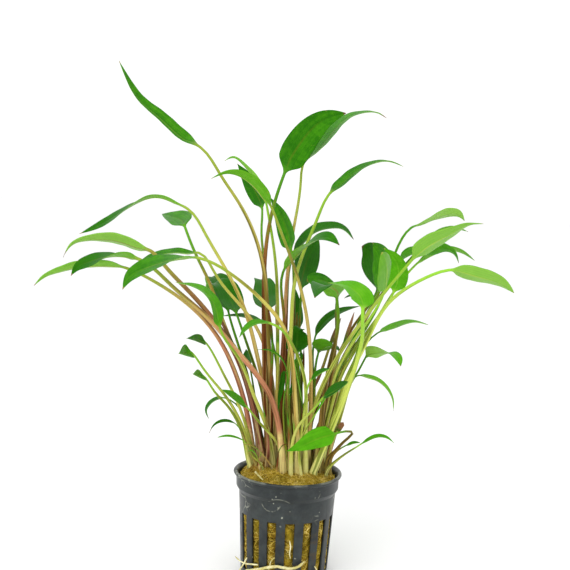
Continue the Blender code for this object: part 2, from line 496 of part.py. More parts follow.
def make_room(leaves, paths, bases):
    """Shifts the middle lines back and forth along the line of sight until no two leaves touch."""
    places = np.linspace(0, 1, STATIONS)
    rows = []
    for index, leaf in enumerate(leaves):
        centre = from_front(paths[index])
        half, petiole, share = half_widths(leaf, bases[index], places)
        _, side, face = leaf_frame(leaf, bases[index], places, centre)
        fold = math.radians(leaf.fold)
        for across in ROOM_ACROSS:
            bent = across * math.cos(fold) * side + (abs(across) - MIDRIB_SINK) * math.sin(fold) * face
            shown = to_front(centre + half[:, None] * bent)
            radius = np.where(share > 0, BLADE_THICKNESS / 2, petiole)
            keep = (share > 0) | (across == 0)
            columns = (np.full(STATIONS, index), np.arange(STATIONS), shown[:, 0], shown[:, 1],
                       shown[:, 2] - centre[:, 1], radius)
            rows.append(np.stack(columns, axis=1)[keep])
    table = np.concatenate(rows)
    leaf_of, spot = table[:, 0].astype(int), (table[:, 0] * STATIONS + table[:, 1]).astype(int)
    firsts, seconds, needs = [], [], []
    for index in range(len(leaves) - 1):
        mine = np.flatnonzero(leaf_of == index)
        low, high = table[mine, 2:4].min(axis=0) - 4, table[mine, 2:4].max(axis=0) + 4
        near = (leaf_of > index) & np.all((table[:, 2:4] > low) & (table[:, 2:4] < high), axis=1)
        other = np.flatnonzero(near)
        span = table[mine, 5][:, None] + table[other, 5] + ROOM_FREE
        apart = np.hypot(table[mine, 2][:, None] - table[other, 2], table[mine, 3][:, None] - table[other, 3])
        row, column = np.nonzero(apart < span)
        firsts.append(mine[row])
        seconds.append(other[column])
        needs.append(np.sqrt(span[row, column] ** 2 - apart[row, column] ** 2))
    first, second, need = (np.concatenate(part) for part in (firsts, seconds, needs))
    back = np.concatenate([path[:, 2] for path in paths])
    shift = table[:, 4]
    gaps = back[spot[first]] + shift[first] - back[spot[second]] - shift[second]
    pair = leaf_of[first] * len(leaves) + leaf_of[second]
    order = np.where(np.bincount(pair, gaps, len(leaves) ** 2) > 0, 1, -1)[pair]
    spread = np.exp(-((places[:, None] - places) / ROOM_SPREAD) ** 2)
    spread /= spread.sum(axis=1)[:, None]
    feet = np.arange(len(leaves)) * STATIONS
    limit = np.array([math.sqrt(max(FEET_WITHIN ** 2 - leaf.foot[0] ** 2, 1)) for leaf in leaves])
    size = len(back)
    for _ in range(ROOM_ROUNDS):
        gaps = order * (back[spot[first]] + shift[first] - back[spot[second]] - shift[second])
        push = order * np.clip(need - gaps, 0, ROOM_LARGEST_PUSH) / 2
        move = np.bincount(spot[first], push, size) - np.bincount(spot[second], push, size)
        move = np.clip(move, -ROOM_LARGEST_PUSH, ROOM_LARGEST_PUSH).reshape(len(leaves), STATIONS)
        back = back + (move @ spread.T).ravel()
        excess = np.clip(back[feet], -limit, limit) - back[feet]
        back = (back.reshape(len(leaves), STATIONS) + excess[:, None] * np.clip(1 - places * 4, 0, 1)).ravel()
    for index, path in enumerate(paths):
        path[:, 2] = back[index * STATIONS:(index + 1) * STATIONS]


def stand_on_wool(points):
    """Brings a leaf's foot to the wool's top, with the lowest stretch of the petiole following."""
    distance = np.concatenate(([0], np.cumsum(np.linalg.norm(np.diff(points, axis=0), axis=1))))
    lift = wool_top(points[0, 0], points[0, 1]) + FOOT_GAP - points[0, 2]
    points[:, 2] += lift * np.clip(1 - distance / FOOT_SETTLES_OVER, 0, 1) ** 2


def add_leaf(name, leaf, base, points, collection, material):
    """One leaf as a loft of six-sided rings: a round petiole that flattens into a folded blade."""
    stations = np.linspace(0, 1, STATIONS)
    length = np.linalg.norm(np.diff(points, axis=0), axis=1).sum()
    lower = 2 + round(length * base / PETIOLE_RING_EVERY)
    upper = 3 + round(length * (1 - base) / BLADE_RING_EVERY)
    places = np.concatenate((np.linspace(0, base, lower, endpoint=False), np.linspace(base, 1, upper)))
    centre = np.stack([np.interp(places, stations, points[:, axis]) for axis in range(3)], axis=1)
    vectors = leaf_frame(leaf, base, stations, points)
    _, side, face = (np.stack([np.interp(places, stations, vector[:, axis]) for axis in range(3)], axis=1)
                     for vector in vectors)
    half, petiole, share = half_widths(leaf, base, places)
    flatness = np.clip(share / FLATTENING, 0, 1)
    fold = math.radians(leaf.fold) * flatness
    inner = half * (0.5 - 0.2 * flatness)
    hexagon_height = math.sin(math.pi / 3) * petiole
    thick = np.minimum(hexagon_height * (1 - flatness) + BLADE_THICKNESS / 2 * flatness, half)
    sunk = MIDRIB_SINK * half * np.sin(fold)
    edge = half * np.sin(fold) - sunk
    middle = inner * np.sin(fold) - sunk
    outline = ((-half, edge), (-inner, middle + thick), (inner, middle + thick),
               (half, edge), (inner, middle - thick), (-inner, middle - thick))
    loft = bmesh.new()
    rings = []
    for k in range(len(places)):
        level = side[k] * math.cos(fold[k])
        rings.append([loft.verts.new((centre[k] + level * across[k] + face[k] * up[k]) * MM)
                      for across, up in outline])
    for ring, following in zip(rings, rings[1:]):
        for k in range(len(outline)):
            k_next = (k + 1) % len(outline)
            loft.faces.new((ring[k], following[k], following[k_next], ring[k_next]))
    loft.faces.new(rings[0])
    loft.faces.new(reversed(rings[-1]))
    bmesh.ops.recalc_face_normals(loft, faces=loft.faces)
    bmesh.ops.triangulate(loft, faces=loft.faces)
    mesh = bpy.data.meshes.new(name)
    loft.to_mesh(mesh)
    loft.free()
    mesh.shade_smooth()
    add_object(name, mesh, collection, material)


def add_leaves(collection):
    materials = {kind: make_material(kind + " leaf", colour, 0.45) for kind, colour in LEAF_COLOURS.items()}
    paths, bases = zip(*(leaf_path(leaf) for leaf in LEAVES))
    make_room(LEAVES, paths, bases)
    for number, (leaf, path, base) in enumerate(zip(LEAVES, paths, bases), start=1):
        points = from_front(path)
        stand_on_wool(points)
        add_leaf(f"leaf_{number:02d}", leaf, base, points, collection, materials[leaf.kind])


def add_root(name, radius, knots, collection, material):
    """A root as a round rod along a smooth curve, with flat ends."""
    points, _ = smooth_path(knots, 2 * len(knots) + 2)
    curve = bpy.data.curves.new(name, "CURVE")
    curve.dimensions = "3D"
    curve.bevel_depth = radius * MM
    curve.bevel_resolution = 1
    curve.use_fill_caps = True
    spline = curve.splines.new("POLY")
    spline.points.add(len(points) - 1)
    for target, point in zip(spline.points, points):
        target.co = (*(point * MM), 1)
    rod = add_object(name, curve, collection)
    curve.materials.append(material)
    return rod


def main():
    clear_scene()
    parts = make_collection("potted cryptocoryne")
    cutters = make_collection("cutters")
    add_pot(parts, cutters)
    add_rock_wool(parts)
    root_material = make_material("root", ROOT_COLOUR, 0.6)
    for name, radius, knots in ROOTS:
        add_root(name, radius, knots, parts, root_material)
    add_leaves(parts)


main()
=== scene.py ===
"""Potted cryptocoryne: the looks of a small water plant, grown above water, in a slotted net pot.

The pot stands on z = 0 with its axis on the Z axis, and the plant's front faces -Y. Sizes are in millimetres
and become metres where a mesh is made.
"""

import math
from collections import namedtuple

import bmesh
import bpy
import numpy as np
from mathutils import Matrix, Vector, noise


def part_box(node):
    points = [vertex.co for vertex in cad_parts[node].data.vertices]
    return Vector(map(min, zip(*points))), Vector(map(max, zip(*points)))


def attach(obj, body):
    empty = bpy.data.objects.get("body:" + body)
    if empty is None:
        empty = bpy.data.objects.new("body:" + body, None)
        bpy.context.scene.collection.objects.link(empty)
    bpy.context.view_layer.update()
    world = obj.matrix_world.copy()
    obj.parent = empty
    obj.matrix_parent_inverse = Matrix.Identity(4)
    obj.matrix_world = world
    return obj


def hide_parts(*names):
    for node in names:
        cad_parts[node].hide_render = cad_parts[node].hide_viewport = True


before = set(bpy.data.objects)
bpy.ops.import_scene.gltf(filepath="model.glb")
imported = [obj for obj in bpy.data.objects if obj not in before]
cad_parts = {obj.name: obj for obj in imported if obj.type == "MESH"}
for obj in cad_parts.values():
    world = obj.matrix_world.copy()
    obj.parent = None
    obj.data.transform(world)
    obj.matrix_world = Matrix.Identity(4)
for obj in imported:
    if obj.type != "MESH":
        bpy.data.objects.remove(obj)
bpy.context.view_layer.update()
MM = 0.001

# The net pot: one piece of black polypropylene, injection moulded. It is a tapered cup with a rolled lip, a
# plain band below it, a small step, and upright slots round the lower wall that let the roots out. Potting
# has left dust, fine scratches and a few pale specks on it. A pale band round the top of the lip is a
# painted highlight.
POT_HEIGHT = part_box("pot")[1].z / MM
LIP_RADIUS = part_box("pot")[1].x / MM
LIP_ROLL = 0.9
BAND_RADIUS = 24.6
BAND_FOOT = 42.0
STEP_DROP = 0.9
STEP_RADIUS = 23.2
BASE_RADIUS = 20.9
BASE_CHAMFER = 0.8
WALL = 1.1
FLOOR = 1.4
SLOTS = 16
SLOT_FOOT = 3.5
SLOT_TOP = 30.6
SLOT_PHASE = math.radians(5.0)
STEPS_PER_SLOT = 12
SLOT_STEPS = 6
SLOT_ROUNDING = 0.3
FLOOR_RING = 15.0
LIP_BEGINS = 1.6
LIP_ENDS = 2.2
ROUNDING = 0.8
ROUND_CENTRES = 0.9
ROUND_POINTS = 4
WARP = 0.35
WARP_SCALE = 45
SHARP_ANGLE = math.radians(50)
SOIL_FADES = (42.0, 15.0)
SCRATCHED_ABOVE = (28.0, 34.0)
# The heights of the pale band round the top of the lip, which is a painted highlight
LIP_HIGHLIGHT_BAND = (49.0, 49.8)
MARK_EDGES = (0.4, 0.1)

# Specks and curved scratches at the front: a mark's middle across and up, its radius, 0 for a speck, and the
# heights that it stays between
MARKS = (
    (-6.9, 42.5, 0, 0, 50), (-5.2, 43.9, 0, 0, 50), (-6.2, 40.2, 0, 0, 50),
    (-4.0, 38.3, 0, 0, 50), (1.6, 36.8, 0, 0, 50), (5.0, 33.4, 0, 0, 50),
    (-19.3, 37.8, 3.0, 0, 36.0), (-7.5, 41.0, 4.9, 0, 38.5), (-3.6, 35.6, 7.2, 41.5, 50),
)


class Link:
    """A value, colour or vector in a material's nodes. Sums and products of values add Math nodes."""

    def __init__(self, tree, socket=None):
        self.tree = tree
        self.socket = socket

    def node(self, kind, settings=None, sockets=None, out=0):
        """Adds a node: first its settings, such as a ramp's stops, then its sockets' values or links."""
        made = self.tree.nodes.new("ShaderNode" + kind)
        for name, value in (settings or {}).items():
            if name == "stops":
                elements = made.color_ramp.elements
                while len(elements) < len(value):
                    elements.new(1)
                for element, (place, colour) in zip(elements, value):
                    element.position = place
                    element.color = (*colour, 1)
            else:
                setattr(made, name, value)
        for name, value in (sockets or {}).items():
            if isinstance(value, Link):
                self.tree.links.new(value.socket, made.inputs[name])
            else:
                made.inputs[name].default_value = value
        return Link(self.tree, made.outputs[out])

    def math(self, operation, *values):
        """A Math node on these values."""
        return self.node("Math", {"operation": operation}, dict(enumerate(values)))

    def __add__(self, other):
        return self.math("ADD", self, other)

    def __sub__(self, other):
        return self.math("SUBTRACT", self, other)

    def __rsub__(self, other):
        return self.math("SUBTRACT", other, self)

    def __mul__(self, other):
        return self.math("MULTIPLY", self, other)

    def __abs__(self):
        return self.math("ABSOLUTE", self)

    __radd__ = __add__
    __rmul__ = __mul__

    def rise(self, low, high):
        """0 below low, 1 above high, and a smooth rise between; low may be the larger, for a fall."""
        return self.node("MapRange", {"interpolation_type": "SMOOTHSTEP"}, {0: self, 1: low, 2: high})

    def blend(self, first, second):
        """The colours first and second, mixed by this value."""
        pair = [colour if isinstance(colour, Link) else (*colour, 1) for colour in (first, second)]
        return self.node("Mix", {"data_type": "RGBA"}, {0: self, 6: pair[0], 7: pair[1]}, out=2)

    def ramp(self, stops):
        """The colour at this value, between stops."""
        return self.node("ValToRGB", {"stops": stops}, {"Fac": self})

    def stretched(self, x, y, z):
        """A place with each axis scaled, for a pattern that is longer along one of them."""
        return self.node("VectorMath", {"operation": "MULTIPLY"}, {0: self, 1: (x, y, z)})

    def distance(self, other):
        """How far this place is from another."""
        return self.node("VectorMath", {"operation": "DISTANCE"}, {0: self, 1: other}, out="Value")

    def numbers(self):
        """The three numbers of a vector."""
        split = self.node("SeparateXYZ", {}, {0: self}).socket.node
        return [Link(self.tree, output) for output in split.outputs]

    def clouds(self, scale, detail, roughness=0.5):
        """Noise at this place, between 0 and 1."""
        return self.node("TexNoise", {}, {"Vector": self, "Scale": scale, "Detail": detail,
                                          "Roughness": roughness})


def rgb(red, green, blue):
    """A colour as seen on a screen, 0 to 255, as linear light."""
    return tuple((part / 255 / 12.92 if part < 11 else ((part / 255 + 0.055) / 1.055) ** 2.4)
                 for part in (red, green, blue))


def new_material(name):
    """An empty material: its tree to build on, and its Principled shader."""
    material = bpy.data.materials.new(name)
    material.use_nodes = True
    tree = material.node_tree
    return material, Link(tree), tree.nodes["Principled BSDF"]


def paint(shader, start, colour, roughness, height, depth, **constants):
    """Connects a colour, a roughness and a bump of some depth in mm; constants are set on the sockets."""
    links = start.tree.links
    links.new(colour.socket, shader.inputs["Base Color"])
    if isinstance(roughness, Link):
        links.new(roughness.socket, shader.inputs["Roughness"])
    else:
        shader.inputs["Roughness"].default_value = roughness
    bump = start.node("Bump", {}, {"Height": height, "Distance": depth * MM, "Strength": 1.0})
    links.new(bump.socket, shader.inputs["Normal"])
    for name, value in constants.items():
        shader.inputs[name.replace("_", " ")].default_value = value


def add_object(name, data):
    """A new object in the scene, with a mesh, lamp or camera."""
    made = bpy.data.objects.new(name, data)
    bpy.context.scene.collection.objects.link(made)
    return made


def add_piece(name, mesh, material, slot, *nodes):
    """Shows a finished mesh as a piece of the plant, in place of the CAD nodes that it stands for."""
    mesh.name = name
    mesh.shade_smooth()
    mesh.materials.append(material)
    piece = add_object(name, mesh)
    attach(piece, "root")
    if nodes:
        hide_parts(*nodes)
    return piece


def turned(profile, steps, start=0.0):
    """A closed bmesh: the (radius, height) points of a profile, turned round the Z axis from an angle."""
    body = bmesh.new()
    points = [body.verts.new((radius * math.cos(start) * MM, radius * math.sin(start) * MM, height * MM))
              for radius, height in profile]
    edges = [body.edges.new(pair) for pair in zip(points, points[1:])]
    bmesh.ops.spin(body, geom=points + edges, axis=(0, 0, 1), angle=2 * math.pi, steps=steps, use_merge=True)
    bmesh.ops.remove_doubles(body, verts=body.verts, dist=0.001 * MM)
    bmesh.ops.recalc_face_normals(body, faces=body.faces)
    return body


def as_mesh(body):
    """A finished bmesh as a mesh."""
    mesh = bpy.data.meshes.new("mesh")
    body.to_mesh(mesh)
    body.free()
    return mesh


def wall_radius(height):
    """The outer radius of the pot's tapered lower wall at a height."""
    return BASE_RADIUS + (STEP_RADIUS - BASE_RADIUS) * height / (BAND_FOOT - STEP_DROP)


def arc(centre_radius, centre_height, radius, first, last, count):
    """Points of a round stretch of a profile, between two angles in degrees."""
    angles = np.radians(np.linspace(first, last, count))
    return [(centre_radius + radius * math.cos(a), centre_height + radius * math.sin(a)) for a in angles]


def pot_profile():
    """From the middle of the floor's upper side, up the inside, over the lip and down the outside."""
    step_foot = BAND_FOOT - STEP_DROP
    roll = LIP_RADIUS - LIP_ROLL
    inside = [(wall_radius(height) - WALL, height) for height in (FLOOR, SLOT_FOOT, SLOT_TOP)]
    outside = [(wall_radius(height), height) for height in (SLOT_TOP, SLOT_FOOT, BASE_CHAMFER)]
    return [
        (0, FLOOR), (FLOOR_RING, FLOOR), *inside,
        (STEP_RADIUS - WALL, step_foot),
        (BAND_RADIUS - WALL, BAND_FOOT),
        (BAND_RADIUS - WALL, POT_HEIGHT - LIP_BEGINS),
        *arc(roll, POT_HEIGHT - LIP_ROLL, LIP_ROLL, 150, -110, 9),
        (BAND_RADIUS + 0.1, POT_HEIGHT - LIP_ENDS),
        *arc(BAND_RADIUS - ROUNDING, BAND_FOOT + ROUND_CENTRES, ROUNDING, 0, -50, ROUND_POINTS),
        *arc(STEP_RADIUS + ROUNDING, step_foot - ROUND_CENTRES, ROUNDING, 130, 180, ROUND_POINTS),
        *outside,
        *arc(BASE_RADIUS - BASE_CHAMFER, BASE_CHAMFER, BASE_CHAMFER * 0.98, -10, -90, ROUND_POINTS),
        (FLOOR_RING, 0), (0, 0),
    ]


def cut_slots(body):
    """Opens the slots: their faces go from both skins of the wall, and new walls join the openings."""
    pitch = 2 * math.pi / SLOTS
    half = SLOT_STEPS / STEPS_PER_SLOT * pitch / 2
    openings = {}
    for face in list(body.faces):
        middle = face.calc_center_median() / MM
        turn = math.atan2(middle.y, middle.x) + math.pi / 2 - SLOT_PHASE + pitch / 2
        index, aside = int(turn // pitch) % SLOTS, abs(turn % pitch - pitch / 2)
        if SLOT_FOOT < middle.z < SLOT_TOP and aside < half:
            openings.setdefault(index, []).append(face)
    rims = []
    for faces in openings.values():
        count = {}
        for face in faces:
            for edge in face.edges:
                count[edge] = count.get(edge, 0) + 1
        rim = [edge for edge, times in count.items() if times == 1]
        bmesh.ops.delete(body, geom=faces, context="FACES")
        bmesh.ops.bridge_loops(body, edges=rim)
        rims += rim
    bmesh.ops.bevel(body, geom=rims, offset=SLOT_ROUNDING * MM, segments=2, profile=0.5, affect="EDGES")


def black_plastic():
    """Dark plastic under a film of dust, with soil low down, scratches, pale specks and a painted highlight
    round the lip.
    """
    material, start, shader = new_material("black plastic")
    place = start.node("TexCoord", out="Object")
    height = place.numbers()[2]

    def above(low, high):
        """0 below one height in mm and 1 above another; low may be the larger, for a fall."""
        return height.rise(low * MM, high * MM)

    film = place.clouds(60, 5, 0.6)
    dust = place.clouds(240, 4, 0.65)
    tone = (film * 0.6 + dust * 0.4).rise(0.35, 0.7)
    colour = tone.blend(rgb(30, 35, 36), rgb(52, 58, 58))
    soil = place.stretched(1, 1, 2.2).clouds(150, 4, 0.6).rise(0.54, 0.66) * above(*SOIL_FADES)
    colour = (soil * 0.5).blend(colour, rgb(74, 60, 36))
    bent = place.clouds(90, 2).blend((0, 0, 0), (0.012, 0.012, 0.012))
    lines = place.node("VectorMath", {"operation": "ADD"}, {0: place, 1: bent})
    cracks = lines.node("TexVoronoi", {"feature": "DISTANCE_TO_EDGE"}, {"Vector": lines, "Scale": 120})
    scratch = cracks.rise(0.03, 0.008) * place.clouds(75, 2).rise(0.53, 0.6) * above(*SCRATCHED_ABOVE)
    cells = place.node("TexVoronoi", {"feature": "F1"}, {"Vector": place, "Scale": 380, "Randomness": 1.0},
                       out="Distance")
    specks = cells.rise(0.24, 0.14) * place.clouds(140, 2).rise(0.58, 0.64)
    # A pale band round the top of the lip, broken up by noise: a painted highlight
    lip_highlight = above(*LIP_HIGHLIGHT_BAND) * place.clouds(150, 3).rise(0.4, 0.6)
    marks_and_lip_highlight = scratch * 0.4 + specks * 0.8 + lip_highlight * 0.3
    for x, z, radius, lowest, highest in MARKS:
        skin_radius = STEP_RADIUS if z < BAND_FOOT else BAND_RADIUS
        middle = (x * MM, -math.sqrt(skin_radius ** 2 - x ** 2) * MM, z * MM)
        gap = abs(place.distance(middle) - radius * MM)
        between = above(lowest - 1, lowest) * above(highest + 1, highest)
        faint = 0.3 * lines.clouds(400, 2).rise(0.35, 0.55) if radius else 0.8
        marks_and_lip_highlight = marks_and_lip_highlight + gap.rise(MARK_EDGES[0] * MM, MARK_EDGES[1] * MM) * between * faint
    marks_and_lip_highlight = marks_and_lip_highlight.math("MINIMUM", marks_and_lip_highlight, 1.0)
    # The scratches and specks, and the painted highlight on the lip, all turn the plastic pale
    colour = marks_and_lip_highlight.blend(colour, rgb(176, 178, 160))
    roughness = 0.28 + tone * 0.2 + soil * 0.2
    relief = place.clouds(900, 3) * 0.35 + film * 0.65 + marks_and_lip_highlight
    paint(shader, start, colour, roughness, relief, 0.06, Specular_IOR_Level=0.3)
    return material


pot_mesh = turned(pot_profile(), SLOTS * STEPS_PER_SLOT, SLOT_PHASE - math.pi / 2)
cut_slots(pot_mesh)
for vertex in pot_mesh.verts:
    swell = noise.noise(vertex.co * WARP_SCALE) * WARP * MM * min(vertex.co.z / (POT_HEIGHT * MM), 1)
    outward = Vector((vertex.co.x, vertex.co.y, 0))
    if outward.length > BASE_RADIUS * MM / 2:
        vertex.co += outward.normalized() * swell
pot = add_piece("net_pot", as_mesh(pot_mesh), black_plastic(), "pot", "pot")
pot.data.set_sharp_from_angle(angle=SHARP_ANGLE)

# The rock wool: a plug of spun mineral fibre that the plant was raised in, pressed into the pot by hand.
# Feed and algae have turned it ochre and olive brown. It domes a little above the rim of the pot, loose
# fibres stand off its top, and it bulges into the slots, where pockets between its tufts stay dark.
WOOL_EDGE = 46.6
WOOL_GAP = 0.3
WOOL_STEPS = 160
WOOL_RING_EVERY = 1.1
DOME_HEIGHT = 5.2
DOME_RADIUS = 23.0
MOUND_HEIGHT = 3.2
MOUND_PLACE = (-14.0, -2.0)
MOUND_SPREAD = 7.0
MOUND_TOP = 54.0
TOP_WAVE = 0.35
TUFT_HEIGHT = 0.8
TUFT_SCALE = 0.32
SLOT_BULGE = 0.7
POCKET_DEPTH = 2.2
TOP_RING_EVERY = 0.8
TOP_FIBRES = 3600
TOP_FIBRES_START = 22.4
TOP_FIBRES_END = 22.7
TOP_FIBRE_LENGTHS = (2.0, 8.0)
TOP_FIBRE_RADII = (0.05, 0.13)
FIBRE_LIFT = 1.2
SLOT_FIBRES = 110
SLOT_FIBRE_RADII = (0.06, 0.13)
FIBRE_POINTS = 6
FIBRE_SIDES = 3


def wool_top(across, back):
    """Height of the rock wool's top: a low dome, a mound at the left, and a slight waviness."""
    dome = DOME_HEIGHT * (1 - (across ** 2 + back ** 2) / DOME_RADIUS ** 2)
    distance = np.hypot(across - MOUND_PLACE[0], back - MOUND_PLACE[1])
    mound = MOUND_HEIGHT * np.exp(-(distance / MOUND_SPREAD) ** 2)
    return WOOL_EDGE + 0.4 + dome + mound + TOP_WAVE * np.sin(0.31 * across + 1.0) * np.cos(0.27 * back)


def tuft(x, y, z):
    """How far the wool stands off or sinks in at a place, in mm."""
    return TUFT_HEIGHT * (noise.fractal(Vector((x, y, z)) * TUFT_SCALE, 0.8, 2.0, 4) - 0.15)


def slot_share(x, y):
    """0 in the middle of a slot, 1 at its sides, and more behind the ribs between slots."""
    pitch = 2 * math.pi / SLOTS
    turn = math.atan2(y, x) + math.pi / 2 - SLOT_PHASE + pitch / 2
    return abs(turn % pitch - pitch / 2) / (SLOT_STEPS / STEPS_PER_SLOT * pitch / 2)


def wool_plug():
    """The body of the plug: turned rings, its top and side roughened in tufts."""
    inset = WALL + WOOL_GAP
    rings = [(radius, WOOL_EDGE) for radius in np.arange(0, BAND_RADIUS - inset - 0.4, TOP_RING_EVERY)]
    side = [(BAND_RADIUS - inset, height)
            for height in np.arange(WOOL_EDGE - 0.6, BAND_FOOT, -WOOL_RING_EVERY)]
    side += [(wall_radius(height) - inset, height)
             for height in np.arange(BAND_FOOT - STEP_DROP, FLOOR + WOOL_GAP, -WOOL_RING_EVERY)]
    foot = [(BASE_RADIUS - inset, FLOOR + WOOL_GAP), (0, FLOOR + WOOL_GAP)]
    body = turned(rings + side + foot, WOOL_STEPS)
    for vertex in body.verts:
        x, y, z = vertex.co / MM
        rough = tuft(x, y, z)
        radius = math.hypot(x, y)
        if z > WOOL_EDGE - 0.1:
            vertex.co.z = (wool_top(x, y) + rough) * MM
        elif z > FLOOR + 1 and SLOT_FOOT < z < SLOT_TOP - 1 and slot_share(x, y) < 0.95:
            pocket = min(max((noise.noise(Vector((x, y, z)) * 0.3 + Vector((9, 0, 0))) - 0.1) * 8, 0), 1)
            bulge = SLOT_BULGE * (1 - slot_share(x, y) ** 2) + 0.6 * rough - POCKET_DEPTH * pocket
            vertex.co *= (radius + bulge) / radius
            vertex.co.z = z * MM
        elif z > FLOOR + 1:
            vertex.co *= (radius - 0.3 + min(rough, 0.2)) / radius
            vertex.co.z = z * MM
    return as_mesh(body)


def lofted(rings):
    """Vertices and faces of a closed body through rings of points, turned about the way along it."""
    count, sides = rings.shape[:2]
    first = np.arange(count - 1)[:, None] * sides + np.arange(sides)
    after = np.arange(count - 1)[:, None] * sides + (np.arange(sides) + 1) % sides
    walls = np.stack((first, after, after + sides, first + sides), axis=-1).reshape(-1, 4)
    faces = walls.tolist() + [list(range(sides))[::-1], list(range((count - 1) * sides, count * sides))]
    return rings.reshape(-1, 3), faces


def tube(centres, radii, sides):
    """Rings of a tube round a line of points."""
    along = np.gradient(centres, axis=0)
    along /= np.linalg.norm(along, axis=1)[:, None]
    spare = np.eye(3)[np.argmin(np.abs(along.mean(axis=0)))]
    side = np.cross(spare, along)
    side /= np.linalg.norm(side, axis=1)[:, None]
    up = np.cross(along, side)
    angles = np.arange(sides) * 2 * math.pi / sides
    circle = np.cos(angles)[:, None] * side[:, None] + np.sin(angles)[:, None] * up[:, None]
    return centres[:, None] + np.reshape(radii, (-1, 1, 1)) * circle


def joined(bodies):
    """One mesh from several (vertices, faces) bodies, sizes in mm, and how many vertices each has."""
    points, faces, counts = [], [], []
    for vertices, body_faces in bodies:
        start = sum(counts)
        points.append(vertices)
        faces += [[start + corner for corner in face] for face in body_faces]
        counts.append(len(vertices))
    mesh = bpy.data.meshes.new("mesh")
    mesh.from_pydata(np.concatenate(points) * MM, [], faces)
    return mesh, counts


def set_values(mesh, name, values, domain="POINT"):
    """Stores numbers or vectors on a mesh for its material to read."""
    kind, key = ("FLOAT_VECTOR", "vector") if np.ndim(values) > 1 else ("FLOAT", "value")
    mesh.attributes.new(name, kind, domain).data.foreach_set(key, np.ravel(values))


def stored(start, name, out="Vector"):
    """What set_values stored, for a material's nodes."""
    return start.node("Attribute", {"attribute_name": name}, out=out)


def wool_fibres():
    """Loose fibres: long ones on the top, in all directions, and short ones across the slots."""
    dice = np.random.default_rng(5)
    steps = np.linspace(0, 1, FIBRE_POINTS)
    thinning = 1.1 - 0.5 * steps
    swing = 2 * steps - 1
    arch = 1 - swing ** 2
    bodies, shades = [], []
    for _ in range(TOP_FIBRES):
        radius = TOP_FIBRES_START * math.sqrt(dice.random())
        angle, heading = dice.random(2) * 2 * math.pi
        length, bend = dice.uniform(*TOP_FIBRE_LENGTHS), dice.normal(0, 0.8)
        way = np.array((math.cos(heading), math.sin(heading)))
        aside = np.array((-way[1], way[0]))
        flat = radius * np.array((math.cos(angle), math.sin(angle)))
        flat = flat + (steps[:, None] - 0.5) * length * way + arch[:, None] * bend * aside
        flat *= np.minimum(1, TOP_FIBRES_END / np.maximum(np.hypot(*flat.T), 0.1))[:, None]
        lift = dice.uniform(-0.1, 1.0) ** 2 * FIBRE_LIFT
        height = [wool_top(x, y) + tuft(x, y, WOOL_EDGE) + lift * rise - 0.05
                  for (x, y), rise in zip(flat, arch)]
        line = np.column_stack((flat, height))
        bodies.append(lofted(tube(line, dice.uniform(*TOP_FIBRE_RADII) * thinning, FIBRE_SIDES)))
        shades.append(dice.random())
    for slot in range(SLOTS):
        middle = SLOT_PHASE - math.pi / 2 + slot * 2 * math.pi / SLOTS
        for _ in range(SLOT_FIBRES):
            height, slope = dice.uniform(SLOT_FOOT + 0.3, SLOT_TOP - 0.5), dice.normal(0, 1.6)
            reach, shift, bend = dice.uniform(0.06, 0.13), dice.uniform(-0.06, 0.06), dice.normal(0, 0.6)
            turn = shift + swing * reach
            z = np.clip(height + swing * slope + arch * bend, SLOT_FOOT + 0.2, SLOT_TOP - 0.2)
            shares = np.abs(turn) / (SLOT_STEPS / STEPS_PER_SLOT * math.pi / SLOTS)
            bulge = (SLOT_BULGE + 0.35) * np.maximum(1 - shares ** 2, -0.3) - dice.uniform(0.2, 1.2)
            radius = np.array([wall_radius(level) for level in z]) - WALL + bulge
            line = np.column_stack((radius * np.cos(middle + turn), radius * np.sin(middle + turn), z))
            bodies.append(lofted(tube(line, dice.uniform(*SLOT_FIBRE_RADII) * thinning, FIBRE_SIDES)))
            shades.append(dice.random())
    mesh, counts = joined(bodies)
    set_values(mesh, "shade", np.repeat(shades, counts))
    return mesh


def rock_wool():
    """Matt ochre wool, each fibre a little different, with olive patches and a browner mound."""
    material, start, shader = new_material("rock wool")
    place = start.node("TexCoord", out="Object")
    shade = stored(start, "shade", "Fac")
    tufts = place.clouds(260, 5, 0.65)
    patches = place.clouds(70, 3)
    tone = shade * 0.5 + tufts * 0.7 + patches * 0.3 - 0.15
    colour = tone.ramp(((0.25, rgb(88, 64, 8)), (0.5, rgb(180, 150, 40)), (0.72, rgb(228, 200, 86)),
                        (0.95, rgb(250, 230, 150))))
    olive = place.clouds(120, 2).rise(0.5, 0.66)
    colour = (olive * 0.4).blend(colour, rgb(128, 116, 22))
    mound = place.distance(Vector((*MOUND_PLACE, MOUND_TOP)) * MM).rise(0.009, 0.002)
    colour = (mound * 0.7).blend(colour, rgb(134, 78, 28))
    paint(shader, start, colour, 0.95, tufts + place.clouds(900, 3) * 0.4, 0.3, Specular_IOR_Level=0.15)
    return material


wool_look = rock_wool()
add_piece("wool_plug", wool_plug(), wool_look, "rock_wool", "rock_wool")
add_piece("wool_fibres", wool_fibres(), wool_look, "rock_wool")

# The roots: soft, cream to white, grown down through the wool and out of the slots at the front and left.
# The thick one runs across the ribs from slot to slot; the thin ones hang or lie against the pot. Each is a
# smooth line through its knots, from where it leaves the wool to its tip.
Root = namedtuple("Root", "name radius knots nodes", defaults=((),))
ROOT_SIDES = 12
ROOT_POINTS = 60
ROOT_SEED = 1

